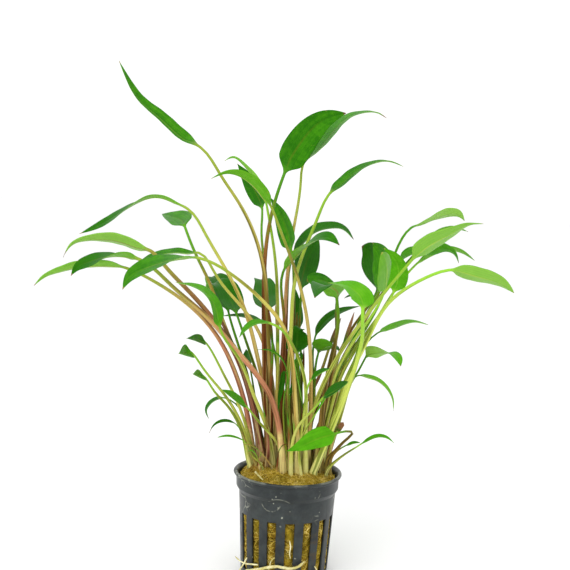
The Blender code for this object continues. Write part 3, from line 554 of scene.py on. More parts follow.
ROOTS = (
    Root("root_front", 0.8,
         ((-17.6, -15.2, 4.6), (-13.4, -18.7, 6.6), (-8.5, -21.3, 8.8), (-3.5, -22.7, 10.2),
          (1.5, -22.9, 9.7), (6.0, -22.3, 10.2), (9.5, -21.1, 12.6)), ("root_front",)),
    Root("root_left_upper", 0.4,
         ((-12.2, -19.0, 9.2), (-15.6, -16.8, 8.6), (-18.8, -13.8, 7.8),
          (-21.4, -12.2, 8.6), (-23.4, -12.2, 10.4)), ("root_left_upper",)),
    Root("root_left_lower", 0.35,
         ((-17.7, -14.7, 11.0), (-19.4, -15.7, 7.6), (-21.2, -16.7, 4.8),
          (-22.6, -17.8, 2.2), (-25.5, -20.0, 0.5)), ("root_left_lower",)),
    Root("root_hanging", 0.22,
         ((-4.6, -22.0, 14.0), (-6.2, -21.8, 12.3), (-6.9, -22.0, 8.7), (-9.0, -21.2, 5.9),
          (-10.2, -20.6, 4.4), (-9.4, -20.6, 1.6))),
    Root("root_right", 0.3,
         ((14.4, -17.2, 9.0), (15.6, -16.5, 6.4), (15.4, -16.2, 3.6), (15.0, -16.2, 1.4))),
    Root("root_top", 0.45,
         ((-15.4, -8.5, 50.8), (-14.2, -10.8, 50.1), (-12.9, -13.0, 49.5), (-11.6, -15.4, 49.0))),
    Root("root_slot", 0.3,
         ((1.9, -21.9, 22.5), (2.6, -21.8, 19.5), (2.3, -21.9, 16.5), (2.8, -22.2, 14.0)), ("root_slot",)),
)


def smooth_path(knots, count):
    """Evenly spaced points on the natural cubic spline through the knots, and each knot's place along it."""
    knots = np.array(knots, float)
    steps = np.linalg.norm(np.diff(knots, axis=0), axis=1)[:, None]
    slopes = np.diff(knots, axis=0) / steps
    system = np.eye(len(knots))
    sides = np.zeros_like(knots)
    for k in range(1, len(knots) - 1):
        system[k, k - 1:k + 2] = steps[k - 1, 0], 2 * (steps[k - 1, 0] + steps[k, 0]), steps[k, 0]
        sides[k] = 6 * (slopes[k] - slopes[k - 1])
    bends = np.linalg.solve(system, sides)
    places = np.concatenate(([0], np.cumsum(steps)))
    wanted = np.linspace(0, places[-1], count)
    piece = np.clip(np.searchsorted(places, wanted, side="right") - 1, 0, len(steps) - 1)
    step = steps[piece]
    after = (wanted - places[piece])[:, None] / step
    before = 1 - after
    curve = (before ** 3 - before) * bends[piece] + (after ** 3 - after) * bends[piece + 1]
    return before * knots[piece] + after * knots[piece + 1] + curve * step ** 2 / 6, places / places[-1]


def root_mesh(root):
    """A root that thins towards its rounded tip, slightly uneven along its length."""
    line, _ = smooth_path(root.knots, ROOT_POINTS)
    share = np.linspace(0, 1, len(line))
    wave = [noise.noise_vector(Vector(point) * 0.9) for point in line]
    line = line + np.array(wave) * root.radius * 0.25
    swell = np.array([noise.noise(Vector(point) * 1.6) for point in line])
    radii = root.radius * (1.02 - 0.3 * share + 0.12 * swell) * np.sqrt(np.clip((1 - share) * 14, 0.05, 1))
    return joined([lofted(tube(line, radii, ROOT_SIDES))])[0]


def root_skin():
    """Smooth, slightly translucent cream, a little yellower in places."""
    material, start, shader = new_material("root")
    place = start.node("TexCoord", out="Object")
    tone = (place.clouds(160, 3) * 0.7 + place.clouds(900, 2) * 0.3).rise(0.35, 0.68)
    colour = tone.blend(rgb(190, 178, 96), rgb(240, 233, 190))
    paint(shader, start, colour, 0.5, place.clouds(1500, 2), 0.05, Subsurface_Weight=0.15,
          Subsurface_Radius=(0.002, 0.0015, 0.0008))
    return material


root_look = root_skin()
noise.seed_set(ROOT_SEED)
for root in ROOTS:
    add_piece(root.name + "_skin", root_mesh(root), root_look, "root", *root.nodes)

# The leaves: each grew from the rock wool as one piece, a fleshy petiole, green to purple, and a thin blade
# with veins from base to tip. A leaf is drawn as seen from EYE against the upright plane through the pot's
# axis: each point is given across and up, and "back" says how far behind that plane it lies.
EYE = (-5.3, -516.5, 198.4)
STATIONS = 120
BLADE_TIP_POWER = 0.75
MIDRIB_SINK = 0.75
FLATTENING = 1 / 6
GIRTH_SHARE = 0.92
PETIOLE_TAPER = 0.5
PETIOLE_LEAN_POWER = 1.5
TIP_NARROWING = 0.25
FOOT_GAP = 1.1
FOOT_SETTLES_OVER = 20.0
FOOT_DEPTH = 3.5
SHEATH_SWELL = 0.35
SHEATH_LENGTH = 9.0
PETIOLE_RING_EVERY = 4.0
BLADE_RING_EVERY = 1.3

# A leaf: the colour of its petiole; the blade's width and the upward fold of its halves in degrees; how far
# its upper face turns to the front, in degrees, at the blade's base and tip; the petiole's thickness at its
# foot; the foot's place on the wool (across, back); the petiole's points above the foot, up to the blade's
# base, and the blade's points, up to its tip, both as (across, up); how far back base and tip lie; how
# bright its green is, from -1 to 1; how drawn out its tip is; how tapered its base is; and how much of it,
# from the tip down, has dried.
Leaf = namedtuple("Leaf", "kind width fold turn girth foot petiole blade back tone tip base dry",
                  defaults=(0.6, 0.04))


def from_front(points):
    """Places in space of points given as across, up and back."""
    scale = (points[..., 2] - EYE[1]) / -EYE[1]
    across = EYE[0] + (points[..., 0] - EYE[0]) * scale
    up = EYE[2] + (points[..., 1] - EYE[2]) * scale
    return np.stack((across, points[..., 2], up), axis=-1)


def to_front(places):
    """Across, up and back of places in space."""
    scale = (places[..., 1] - EYE[1]) / -EYE[1]
    across = EYE[0] + (places[..., 0] - EYE[0]) / scale
    up = EYE[2] + (places[..., 2] - EYE[2]) / scale
    return np.stack((across, up, places[..., 1]), axis=-1)


def leaf_path(leaf):
    """A leaf's middle line from foot to tip, as across, up and back, and the blade's share of the way."""
    foot = to_front(np.array((*leaf.foot, wool_top(*leaf.foot) + FOOT_GAP)))
    flat = [tuple(foot[:2]), *leaf.petiole, *leaf.blade]
    base = len(leaf.petiole)
    lengths = np.concatenate(([0], np.cumsum([math.dist(a, b) for a, b in zip(flat, flat[1:])])))
    reach = np.minimum(lengths / lengths[base], 1) ** PETIOLE_LEAN_POWER
    share = np.clip((lengths - lengths[base]) / (lengths[-1] - lengths[base]), 0, 1)
    back = foot[2] + (leaf.back[0] - foot[2]) * reach + (leaf.back[1] - leaf.back[0]) * share
    path, places = smooth_path([(*point, depth) for point, depth in zip(flat, back)], STATIONS)
    return path, places[base]


def half_widths(leaf, base, places, tip_half_width):
    """The blade's half width, or the petiole's radius, at places between 0 and 1 along a leaf."""
    petiole = GIRTH_SHARE * leaf.girth / 2 * (1 - (1 - PETIOLE_TAPER) * np.minimum(places / base, 1))
    share = np.clip((places - base) / (1 - base), 0, 1)
    tip_power = BLADE_TIP_POWER + leaf.tip
    peak = leaf.base / (leaf.base + tip_power)
    most = peak ** leaf.base * (1 - peak) ** tip_power
    blade = leaf.width / 2 * share ** leaf.base * (1 - share) ** tip_power / most
    narrowing = petiole * np.clip((1 - share) / TIP_NARROWING, 0, 1)
    return np.maximum(np.maximum(blade, narrowing), tip_half_width), petiole, share


def leaf_frame(leaf, base, places, points):
    """Unit vectors along a leaf, across it, and out of its upper face, at each of its points."""
    along = np.gradient(points, axis=0)
    along[0] = (0, 0, 1)
    along /= np.linalg.norm(along, axis=1)[:, None]
    heading = points[-1, :2] - points[int(base * (len(points) - 1)), :2]
    heading = heading / np.linalg.norm(heading)
    level = np.array((-heading[1], heading[0], 0.0))
    side = level - (along @ level)[:, None] * along
    side /= np.linalg.norm(side, axis=1)[:, None]
    face = np.cross(along, side)
    front = -1 if level[1] > 0 else 1
    share = np.clip((places - base) / (1 - base), 0, 1)
    turn = np.radians(leaf.turn[0] + (leaf.turn[1] - leaf.turn[0]) * share)[:, None]
    face = np.cos(turn) * face + np.sin(turn) * front * side
    return along, np.cross(face, along), face


# Room between leaves: rounds of pushing apart, how far a push spreads along a leaf, the free space kept, and
# the thickness and tips of the blades that the room is kept for. The feet stay inside the pot.
ROOM_ROUNDS = 600
ROOM_SPREAD = 0.16
ROOM_FREE = 1.0
ROOM_ACROSS = np.linspace(-1, 1, 7)
ROOM_LARGEST_PUSH = 0.6
ROOM_SEARCH = 4
FEET_WITHIN = 20.3
FEET_STRETCH = 0.25
CAD_BLADE_THICKNESS = 0.9
CAD_TIP_HALF_WIDTH = 0.25


def make_room(leaves, paths, bases, settled=0):
    """Shifts the middle lines back and forth until no two leaves touch. The first ones, as many as settled
    says, stay where they are."""
    places = np.linspace(0, 1, STATIONS)
    rows = []
    for index, leaf in enumerate(leaves):
        centre = from_front(paths[index])
        half, petiole, share = half_widths(leaf, bases[index], places, CAD_TIP_HALF_WIDTH)
        _, side, face = leaf_frame(leaf, bases[index], places, centre)
        fold = math.radians(leaf.fold)
        for across in ROOM_ACROSS:
            bent = across * math.cos(fold) * side + (abs(across) - MIDRIB_SINK) * math.sin(fold) * face
            shown = to_front(centre + half[:, None] * bent)
            radius = np.where(share > 0, CAD_BLADE_THICKNESS / 2, petiole)
            keep = (share > 0) | (across == 0)
            columns = (np.full(STATIONS, index), np.arange(STATIONS), shown[:, 0], shown[:, 1],
                       shown[:, 2] - centre[:, 1], radius)
            rows.append(np.stack(columns, axis=1)[keep])
    table = np.concatenate(rows)
    leaf_of, spot = table[:, 0].astype(int), (table[:, 0] * STATIONS + table[:, 1]).astype(int)
    firsts, seconds, needs = [], [], []
    for index in range(len(leaves) - 1):
        mine = np.flatnonzero(leaf_of == index)
        low, high = table[mine, 2:4].min(axis=0) - ROOM_SEARCH, table[mine, 2:4].max(axis=0) + ROOM_SEARCH
        near = (leaf_of > index) & np.all((table[:, 2:4] > low) & (table[:, 2:4] < high), axis=1)
        other = np.flatnonzero(near)
        span = table[mine, 5][:, None] + table[other, 5] + ROOM_FREE
        aside, above = (table[mine, axis][:, None] - table[other, axis] for axis in (2, 3))
        apart = np.hypot(aside, above)
        row, column = np.nonzero(apart < span)
        firsts.append(mine[row])
        seconds.append(other[column])
        needs.append(np.sqrt(span[row, column] ** 2 - apart[row, column] ** 2))
    first, second, need = (np.concatenate(part) for part in (firsts, seconds, needs))
    back = np.concatenate([path[:, 2] for path in paths])
    shift = table[:, 4]
    gaps = back[spot[first]] + shift[first] - back[spot[second]] - shift[second]
    pair = leaf_of[first] * len(leaves) + leaf_of[second]
    order = np.where(np.bincount(pair, gaps, len(leaves) ** 2) > 0, 1, -1)[pair]
    spread = np.exp(-((places[:, None] - places) / ROOM_SPREAD) ** 2)
    spread /= spread.sum(axis=1)[:, None]
    feet = np.arange(len(leaves)) * STATIONS
    near_foot = np.clip(1 - places / FEET_STRETCH, 0, 1)
    limit = np.array([math.sqrt(max(FEET_WITHIN ** 2 - leaf.foot[0] ** 2, 1)) for leaf in leaves])
    size = len(back)
    for _ in range(ROOM_ROUNDS):
        gaps = order * (back[spot[first]] + shift[first] - back[spot[second]] - shift[second])
        push = order * np.clip(need - gaps, 0, ROOM_LARGEST_PUSH) / 2
        move = np.bincount(spot[first], push, size) - np.bincount(spot[second], push, size)
        move = np.clip(move, -ROOM_LARGEST_PUSH, ROOM_LARGEST_PUSH).reshape(len(leaves), STATIONS)
        move[:settled] = 0
        back = back + (move @ spread.T).ravel()
        excess = np.clip(back[feet], -limit, limit) - back[feet]
        back = (back.reshape(len(leaves), STATIONS) + excess[:, None] * near_foot).ravel()
    for index, path in enumerate(paths):
        path[:, 2] = back[index * STATIONS:(index + 1) * STATIONS]


def stand_on_wool(points):
    """Brings a leaf's foot to the wool's top, with the lowest stretch of the petiole following."""
    distance = np.concatenate(([0], np.cumsum(np.linalg.norm(np.diff(points, axis=0), axis=1))))
    lift = wool_top(points[0, 0], points[0, 1]) + FOOT_GAP - points[0, 2]
    points[:, 2] += lift * np.clip(1 - distance / FOOT_SETTLES_OVER, 0, 1) ** 2


LEAVES = (
    # Tall leaves of the crown
    Leaf("tan", 10, 25, (25, 15), 2.8, (-6.2, 0.6),
         ((-9, 84), (-12, 113), (-16.5, 150), (-28, 176.5), (-38, 190.5), (-47, 202)),
         ((-54, 206), (-66.5, 216), (-76, 223.5), (-82, 232), (-86.5, 240.5)), (10, 22), 0.0, 0.25, 0.4),
    Leaf("red", 15, 12, (75, 70), 3.2, (-9.8, 2.2),
         ((-12.5, 88.5), (-15, 132), (-14.5, 163), (-11, 181.5), (-8, 191.5)),
         ((-6, 197), (-1, 206), (4.5, 213.5), (11, 218.5), (19.5, 221)), (12, 30), -0.05, 0.1, 0.45),
    Leaf("pink", 13, 12, (-5, 10), 2.6, (-4.5, 11.4),
         ((-5.5, 84), (-5, 113), (-4.5, 142), (-2.5, 165.5), (0, 190), (0.5, 196)),
         ((5, 202), (10.5, 208.5), (15, 214.5), (20.5, 219.5), (27.5, 222), (34, 222), (38.5, 219.5)),
         (25, 45), 0.05, 0.3, 0.5, 0.08),
    Leaf("lime", 9, 15, (15, 0), 2.8, (-1.6, -2.2),
         ((-2, 84.5), (-1.5, 123), (-0.5, 143), (4, 159), (9, 173), (13, 182.5)),
         ((19, 189), (25.5, 195), (32, 198.5), (40, 200), (47.5, 197.5)), (5, 20), -0.05, 0.35, 0.5),
    # Arching leaves on the left
    Leaf("tan", 8, 10, (-55, 80), 2.8, (-9.4, 6.2),
         ((-11, 79), (-16.5, 103), (-23.5, 126), (-34, 146.5), (-44, 162.5), (-52.5, 173.5)),
         ((-58, 176), (-63, 178), (-69, 178.5), (-75, 176.5), (-83, 171.5), (-91.5, 165.5),
          (-103, 159.5)), (18, 30), -0.1, 0.35, 1.0),
    Leaf("olive", 12, 15, (35, 25), 2.8, (-12, 10.2),
         ((-25, 100.5), (-34.5, 122.5), (-41, 139), (-49.5, 155.5), (-53.5, 165)),
         ((-56, 169), (-59, 170), (-64.5, 170.5)), (20, 42), 0.05, 0.25, 0.5),
    Leaf("purple", 10, 15, (-50, -20), 3.8, (-13, 5),
         ((-19, 83.5), (-28, 106.5), (-38.5, 121.5), (-50, 134), (-63.5, 147.5), (-68.5, 152.5)),
         ((-74.5, 154.5), (-84, 157.5), (-93.5, 158), (-101, 157), (-106.5, 154.5), (-110.5, 148)),
         (-5, 5), 0.25, 0.8, 0.8, 0.1),
    Leaf("pink", 11, 12, (-50, 85), 3.4, (-2.5, -6),
         ((-5.5, 72), (-11, 87.5), (-25.5, 105.5), (-42.5, 123.5), (-59.5, 137.5), (-74, 148.5)),
         ((-77, 149.5), (-82, 150.5), (-87, 150.5), (-93, 149), (-99, 146.5), (-103.5, 144),
          (-106.5, 139.5)), (-20, -15), -0.2, 0.25, 0.6),
    Leaf("pink", 9, 15, (-30, -30), 3.0, (-16.6, 8.2),
         ((-20, 73.5), (-27, 96), (-39, 117), (-54.5, 131), (-69, 139.5), (-79.5, 144)),
         ((-86.5, 145.5), (-96, 145.5), (-104, 144.5), (-112, 142), (-119.5, 138.5), (-124, 134)),
          (-15, -20), 0.0, 0.3, 0.7),
    Leaf("tan", 14, 14, (-15, 50), 2.8, (4.6, -6.2),
         ((3, 74.5), (1, 94), (-5, 119), (-16, 132), (-31.5, 144), (-46, 150.5)),
         ((-52, 151), (-61.5, 149.5), (-68, 147), (-74, 144), (-78.5, 140.5), (-82, 134)),
         (-25, -35), 0.0, 0.35, 0.8),
    Leaf("tan", 8, 20, (5, 35), 2.6, (-6.6, 4.2),
         ((-10.5, 98.5), (-17, 117), (-27, 130), (-38.5, 143.5), (-46.5, 153)),
         ((-50.5, 153), (-56.5, 153.5), (-63, 152.5), (-69.5, 150.5), (-75.5, 146.5)),
         (10, 25), 0.0, 0.3, 0.8),
    Leaf("lime", 9, 10, (90, 0), 2.4, (-7.2, -4.5),
         ((-10.5, 69), (-17.5, 85), (-26.5, 104.5), (-35, 117)),
         ((-36.5, 124.5), (-39, 130.5), (-43, 135), (-49, 137.5), (-57, 138.5)), (-30, -45), 0.2, 0.3, 0.6),
    # Broad leaves behind the left petioles, which arch away
    Leaf("green", 13, 15, (10, 10), 2.4, (-13.4, 14.4),
         ((-18.5, 83.5), (-24, 103.5), (-31.5, 125.5)),
         ((-33, 134), (-36.5, 141), (-40, 142.5), (-42, 137.5)), (22, 55), -0.25, 0.1, 0.5),
    Leaf("green", 13, 15, (10, 15), 2.4, (-8.4, 9.6),
         ((-13, 84), (-22.5, 111.5), (-27.5, 124.5)),
         ((-30.5, 132), (-34.5, 138.5), (-39, 139.5), (-41, 132.5)), (8, 40), -0.2, 0.1, 0.5),
    Leaf("olive", 13, 12, (0, 0), 2.4, (-5.5, 16),
         ((-9, 84), (-12.5, 108), (-13.5, 126)),
         ((-14.5, 133.5), (-16, 141.5), (-16.5, 142), (-16.5, 136.5)), (28, 62), -0.2, 0.1, 0.5),
    Leaf("lime", 6, 20, (20, -10), 2.4, (8.2, -7.2),
         ((7.5, 75), (5.5, 97), (-0.5, 111), (-7, 119), (-11.5, 121)),
         ((-17.5, 121.5), (-22.5, 118.5), (-26, 113.5)), (-35, -45), 0.1, 0.4, 0.8),
    Leaf("green", 6, 20, (-5, 25), 2.0, (-2.4, 4.6),
         ((-5.5, 84), (-9, 108), (-13.5, 119.5)),
         ((-18.5, 122.5), (-23.5, 124), (-34.5, 123.5)), (8, 26), -0.2, 0.4, 0.8),
    # Upright leaves of the middle
    Leaf("tan", 10, 25, (-10, -20), 2.5, (9.2, -3.2),
         ((9, 95.5), (5.5, 125.5), (-0.5, 146), (-11, 171), (-13, 175.5)),
         ((-15.5, 179.5), (-19, 184.5), (-23.5, 188.5), (-28.5, 191), (-35, 191.5), (-42, 188)),
         (-20, -32), -0.3, 0.5, 0.7),
    Leaf("olive", 9, 20, (45, 45), 2.4, (-8.8, 17),
         ((-12.5, 108), (-15, 147), (-17.5, 167.5), (-17.5, 174.5)),
         ((-19, 179), (-21.5, 183.5), (-25, 189), (-30, 195.5)), (30, 50), -0.1, 0.3, 0.6),
    Leaf("lime", 6, 20, (-65, -35), 2.6, (-4.4, 7.6),
         ((-7.5, 108.5), (-9.5, 144), (-12, 160.5), (-15, 174.5)),
         ((-18, 184.5), (-22.5, 191), (-27.5, 196), (-32, 198.5), (-36, 196.5)), (22, 40), -0.1, 0.4, 0.7),
    Leaf("olive", 10, 20, (65, 60), 2.4, (1, 6.5),
         ((0, 104), (-1, 137.5), (-3, 155.5)),
         ((-5, 162), (-9, 172.5), (-14, 180.5)), (12, 32), 0.0, 0.3, 0.5),
    Leaf("red", 11, 20, (35, 10), 2.4, (1.8, 9.8),
         ((-3.5, 108.5), (-4, 137), (-2.5, 152.5)),
         ((3, 162.5), (7.5, 166.5), (14.5, 168.5), (20.5, 168), (26, 162.5)), (25, 20), -0.2, 0.15, 0.7),
    Leaf("red", 11, 15, (-25, 50), 2.7, (-1.2, 1.2),
         ((-4.5, 94), (-5.5, 127.5), (-6.5, 145.5)),
         ((-2.5, 152.5), (2.5, 158.5), (7.5, 162), (13, 163.5), (19.5, 159.5)), (0, -15), -0.1, 0.3, 1.0),
    Leaf("red", 13, 20, (30, 20), 2.4, (3, 13),
         ((2, 108.5), (2.5, 128), (2.5, 137)),
         ((3, 144), (4.5, 151), (6.5, 157), (9.5, 162)), (18, 46), -0.3, 0.1, 0.9),
    Leaf("lime", 13, 12, (35, 5), 3.2, (12.1, -6.2),
         ((23.5, 80.5), (29.5, 100.5), (32.5, 117.5), (32, 129.5)),
         ((31.5, 135), (28.5, 138.5), (24, 141), (19, 141.5), (15, 141.5)), (-42, -35), 0.35, 0.3, 0.4),
    Leaf("olive", 12, 15, (-55, 45), 3.2, (13.9, -2.2),
         ((15.5, 85), (18, 104.5), (20.5, 126.5), (19.5, 134)),
         ((19, 138.5), (15.5, 141), (11, 140), (9, 134)), (-14, -42), -0.2, 0.2, 0.5),
    Leaf("green", 6, 15, (20, 20), 2.0, (8.4, 8.2),
         ((10.5, 85), (9.5, 104), (10, 115)),
         ((12, 120), (16, 125), (21.5, 128.5), (26, 130), (30.5, 131)), (14, 26), -0.4, 0.3, 0.8),
    # Leaves of the cluster on the right
    Leaf("red", 14, 15, (60, 60), 2.5, (5.4, 10.6),
         ((11.7, 79.5), (16.7, 94), (22.5, 109.5), (27, 119.5), (32, 127.5), (38, 138)),
         ((37.5, 145), (36, 150.5), (34.5, 155), (33, 158), (30, 159.5)), (26, 48), -0.35, 0.1, 1.4),
    Leaf("green", 17, 10, (70, 70), 2.2, (10.8, 4.8),
         ((15.5, 70.5), (20.5, 95), (28, 110), (36, 124.5), (41.5, 138.5)),
         ((41.5, 146.5), (40, 152.5), (38, 157.5), (35, 161.5)), (14, 32), 0.05, 0.2, 0.6),
    Leaf("lime", 12, 12, (-65, -60), 2.4, (12.9, 1.8),
         ((16.5, 80), (20.5, 97.5), (27, 111.5), (35, 124.5), (41.5, 138)),
         ((41.5, 143), (41.5, 148.5), (41, 152.5), (39.5, 157)), (-8, -28), -0.2, 0.0, 0.6),
    Leaf("lime", 11, 15, (60, 60), 2.4, (13.9, 6.6),
         ((19, 80.5), (23, 96), (29.5, 110), (37.5, 123.5), (46, 138)),
         ((47.5, 144), (47.5, 150), (44.5, 155.5), (40.5, 159)), (6, 12), 0.25, 0.3, 0.5),
    # Arching leaves on the right
    Leaf("green", 9, 14, (-15, -70), 2.5, (11.6, 9.6),
         ((18, 80.5), (22, 97.5), (29, 117), (36.5, 132), (43, 148), (52.5, 169)),
         ((57, 171.5), (62, 174), (66.5, 176), (71, 177), (75, 176.5), (77.5, 173.5)),
         (20, 44), 0.25, 0.2, 0.6),
    Leaf("lime", 13, 10, (-40, -10), 2.7, (5.6, -2.3),
         ((11.5, 82.5), (17, 97.5), (25, 113), (36.5, 130.5), (48.5, 147), (53.5, 153.5)),
         ((58, 159), (64.5, 164), (72.5, 168.5), (79.5, 172), (86.5, 172.5)), (-28, -40), 0.05, 0.5, 0.7),
    Leaf("olive", 10, 20, (0, 60), 2.4, (9.4, 12.4),
         ((15, 75.5), (20.5, 97.5), (29, 117), (37.5, 134.5), (47.5, 152)),
         ((53.5, 158), (61, 158.5), (68, 160.5), (74, 158), (76, 153.5)), (34, 48), 0.1, 0.3, 0.6),
    Leaf("lime", 8, 20, (-60, 5), 2.4, (13.3, 12.7),
         ((20, 78), (25.5, 95), (34, 115), (42.5, 132), (55.5, 151.5)),
         ((63, 157.5), (70.5, 160), (77, 159), (83.5, 155)), (42, 66), -0.2, 0.3, 0.6),
    Leaf("olive", 6, 20, (-70, -10), 2.4, (10.8, 15.8),
         ((19, 80.5), (23.5, 100), (31, 119.5), (42, 139.5), (58.5, 161)),
         ((64.5, 167), (72, 170), (79.5, 168.5)), (45, 72), -0.2, 0.4, 0.7),
    Leaf("lime", 11, 12, (-55, -25), 3.0, (16, 3.5),
         ((17.2, 61.5), (21, 77), (25.5, 93), (34.5, 114), (43.5, 132.5), (53.5, 141.5), (63, 147),
          (71.5, 150)),
         ((77, 150), (84, 148.5), (91, 147), (97.5, 144.5), (103, 140.5)), (-8, 0), 0.2, 0.15, 0.75),
    Leaf("green", 8, 15, (0, 10), 1.7, (15.8, 11.4),
         ((19.5, 65.5), (22.5, 85.5), (27.5, 99), (32.5, 110), (39.5, 118.5)),
         ((44.5, 121), (50, 123.5), (57, 125), (63.5, 123.5)), (20, 32), 0.4, 0.4, 0.7),
    Leaf("green", 10, 12, (-65, 35), 2.0, (17.8, 7),
         ((22.5, 70.5), (26, 85.5), (28.5, 94.5), (32.5, 102), (34.5, 106.5)),
         ((37.5, 109), (42.5, 110), (47, 109.5), (50, 107), (51.5, 103)), (8, -6), 0.35, 0.2, 0.5),
    Leaf("olive", 5, 20, (5, 60), 1.5, (17.8, 9.6),
         ((21.5, 70.5), (23.5, 83), (26.5, 92.5), (31, 97.5)),
         ((36, 97.5), (41, 96), (45, 93), (49, 85), (49, 81)), (12, 20), 0.6, 0.4, 0.4),
    # Low leaves at the front and right
    Leaf("lime", 7.5, 20, (55, 45), 1.9, (1.4, -7.6),
         ((3, 69.5), (7.5, 76.5), (13, 83), (15, 86)),
         ((19, 89.5), (23, 92), (27, 94.5)), (-32, -44), -0.35, 0.2, 0.8),
    Leaf("lime", 5, 20, (50, 15), 1.7, (2, -4.2),
         ((5, 65), (6.5, 80), (7.5, 90.5), (9, 94.5)),
         ((13, 98.5), (18, 100.5)), (-25, -30), -0.1, 0.3, 0.8),
    Leaf("olive", 10, 12, (50, 50), 2.0, (18.6, 1),
         ((19, 56.5), (21.5, 59.5), (25.8, 64.7), (30, 70), (26.5, 70.2), (22.5, 69)),
         ((15.5, 67), (6.5, 62.5), (-1.5, 59)), (-22, -34), 0.25, 0.5, 0.5),
    Leaf("lime", 3.5, 20, (30, 15), 1.5, (18.3, -3.2),
         ((19.3, 51.5), (21.5, 54.2), (27, 59), (34.3, 64.2)),
         ((38.7, 67.3), (43.6, 68.8), (47.3, 67.9), (50.2, 65.6)), (-20, -26), 0.2, 0.4, 0.7),
    Leaf("olive", 3, 20, (20, 20), 1.4, (20.2, -1),
         ((20.9, 57.3), (23.6, 60.8), (27.3, 63.3)),
         ((30.4, 64.8), (34, 65)), (-15, -18), 0.0, 0.3, 0.7),
    # Young leaves low on the left
    Leaf("lime", 5.5, 20, (60, 50), 2.0, (-15.8, 3.2),
         ((-19, 64), (-22, 73.5), (-28.5, 88), (-33, 96), (-41.5, 110)),
         ((-45.5, 112), (-51, 112)), (-20, -40), -0.1, 0.5, 0.5),
    Leaf("lime", 8, 25, (50, 50), 2.0, (-17.6, 0.6),
         ((-19, 59), (-22, 68.5), (-31.5, 85), (-43, 98.5), (-48, 105)),
         ((-50.5, 105.5), (-54.5, 104.5)), (-30, -48), 0.1, 0.5, 0.4),
    Leaf("lime", 7, 20, (45, 45), 2.0, (-18.4, -2.2),
         ((-19.5, 55), (-22, 65), (-32, 82), (-36.5, 86.5), (-41.5, 93.5)),
         ((-44, 94.5), (-47.5, 95)), (-26, -42), 0.1, 0.5, 0.4),
    Leaf("lime", 6, 20, (55, 50), 1.8, (-4.6, -2.4),
         ((-4.5, 60.5), (-8.5, 66.5), (-13.5, 71.5), (-17.5, 76), (-21, 80)),
         ((-27.5, 85), (-33.5, 88)), (-32, -46), 0.1, 0.4, 0.7),
    Leaf("green", 4, 20, (15, 100), 1.4, (-15.6, 12),
         ((-19, 64), (-22.5, 76), (-28, 82.5), (-32, 84)),
         ((-38, 82), (-40.5, 77.5), (-39, 73.5)), (10, 18), -0.1, 0.4, 0.7),
    # Young leaves in the heart of the plant
    Leaf("green", 12, 15, (10, 10), 2.2, (3.5, 0.6),
         ((4.5, 75), (3.5, 94.5), (2, 107)),
         ((1.5, 111), (1.5, 115.5), (2.5, 119), (5, 118.5)), (-3, 10), -0.4, 0.1, 0.5),
    Leaf("green", 11, 20, (-35, -20), 2.2, (7.4, 5),
         ((11, 85), (11, 102), (12, 108)),
         ((14, 111.5), (18, 112.5), (22, 109)), (2, -12), -0.4, 0.2, 0.5),
    Leaf("green", 6, 15, (40, 30), 1.7, (-10.3, 13),
         ((-17, 83.5), (-20.5, 100)),
         ((-22, 104.5), (-22.5, 108)), (18, 30), -0.4, 0.2, 0.5),
    Leaf("green", 6, 15, (50, 50), 2.0, (6.5, 14.5),
         ((4.5, 94.5), (2.5, 118.5)),
         ((1.5, 125.5), (0.5, 131.5), (-1, 139)), (26, 34), -0.3, 0.1, 0.5),
)

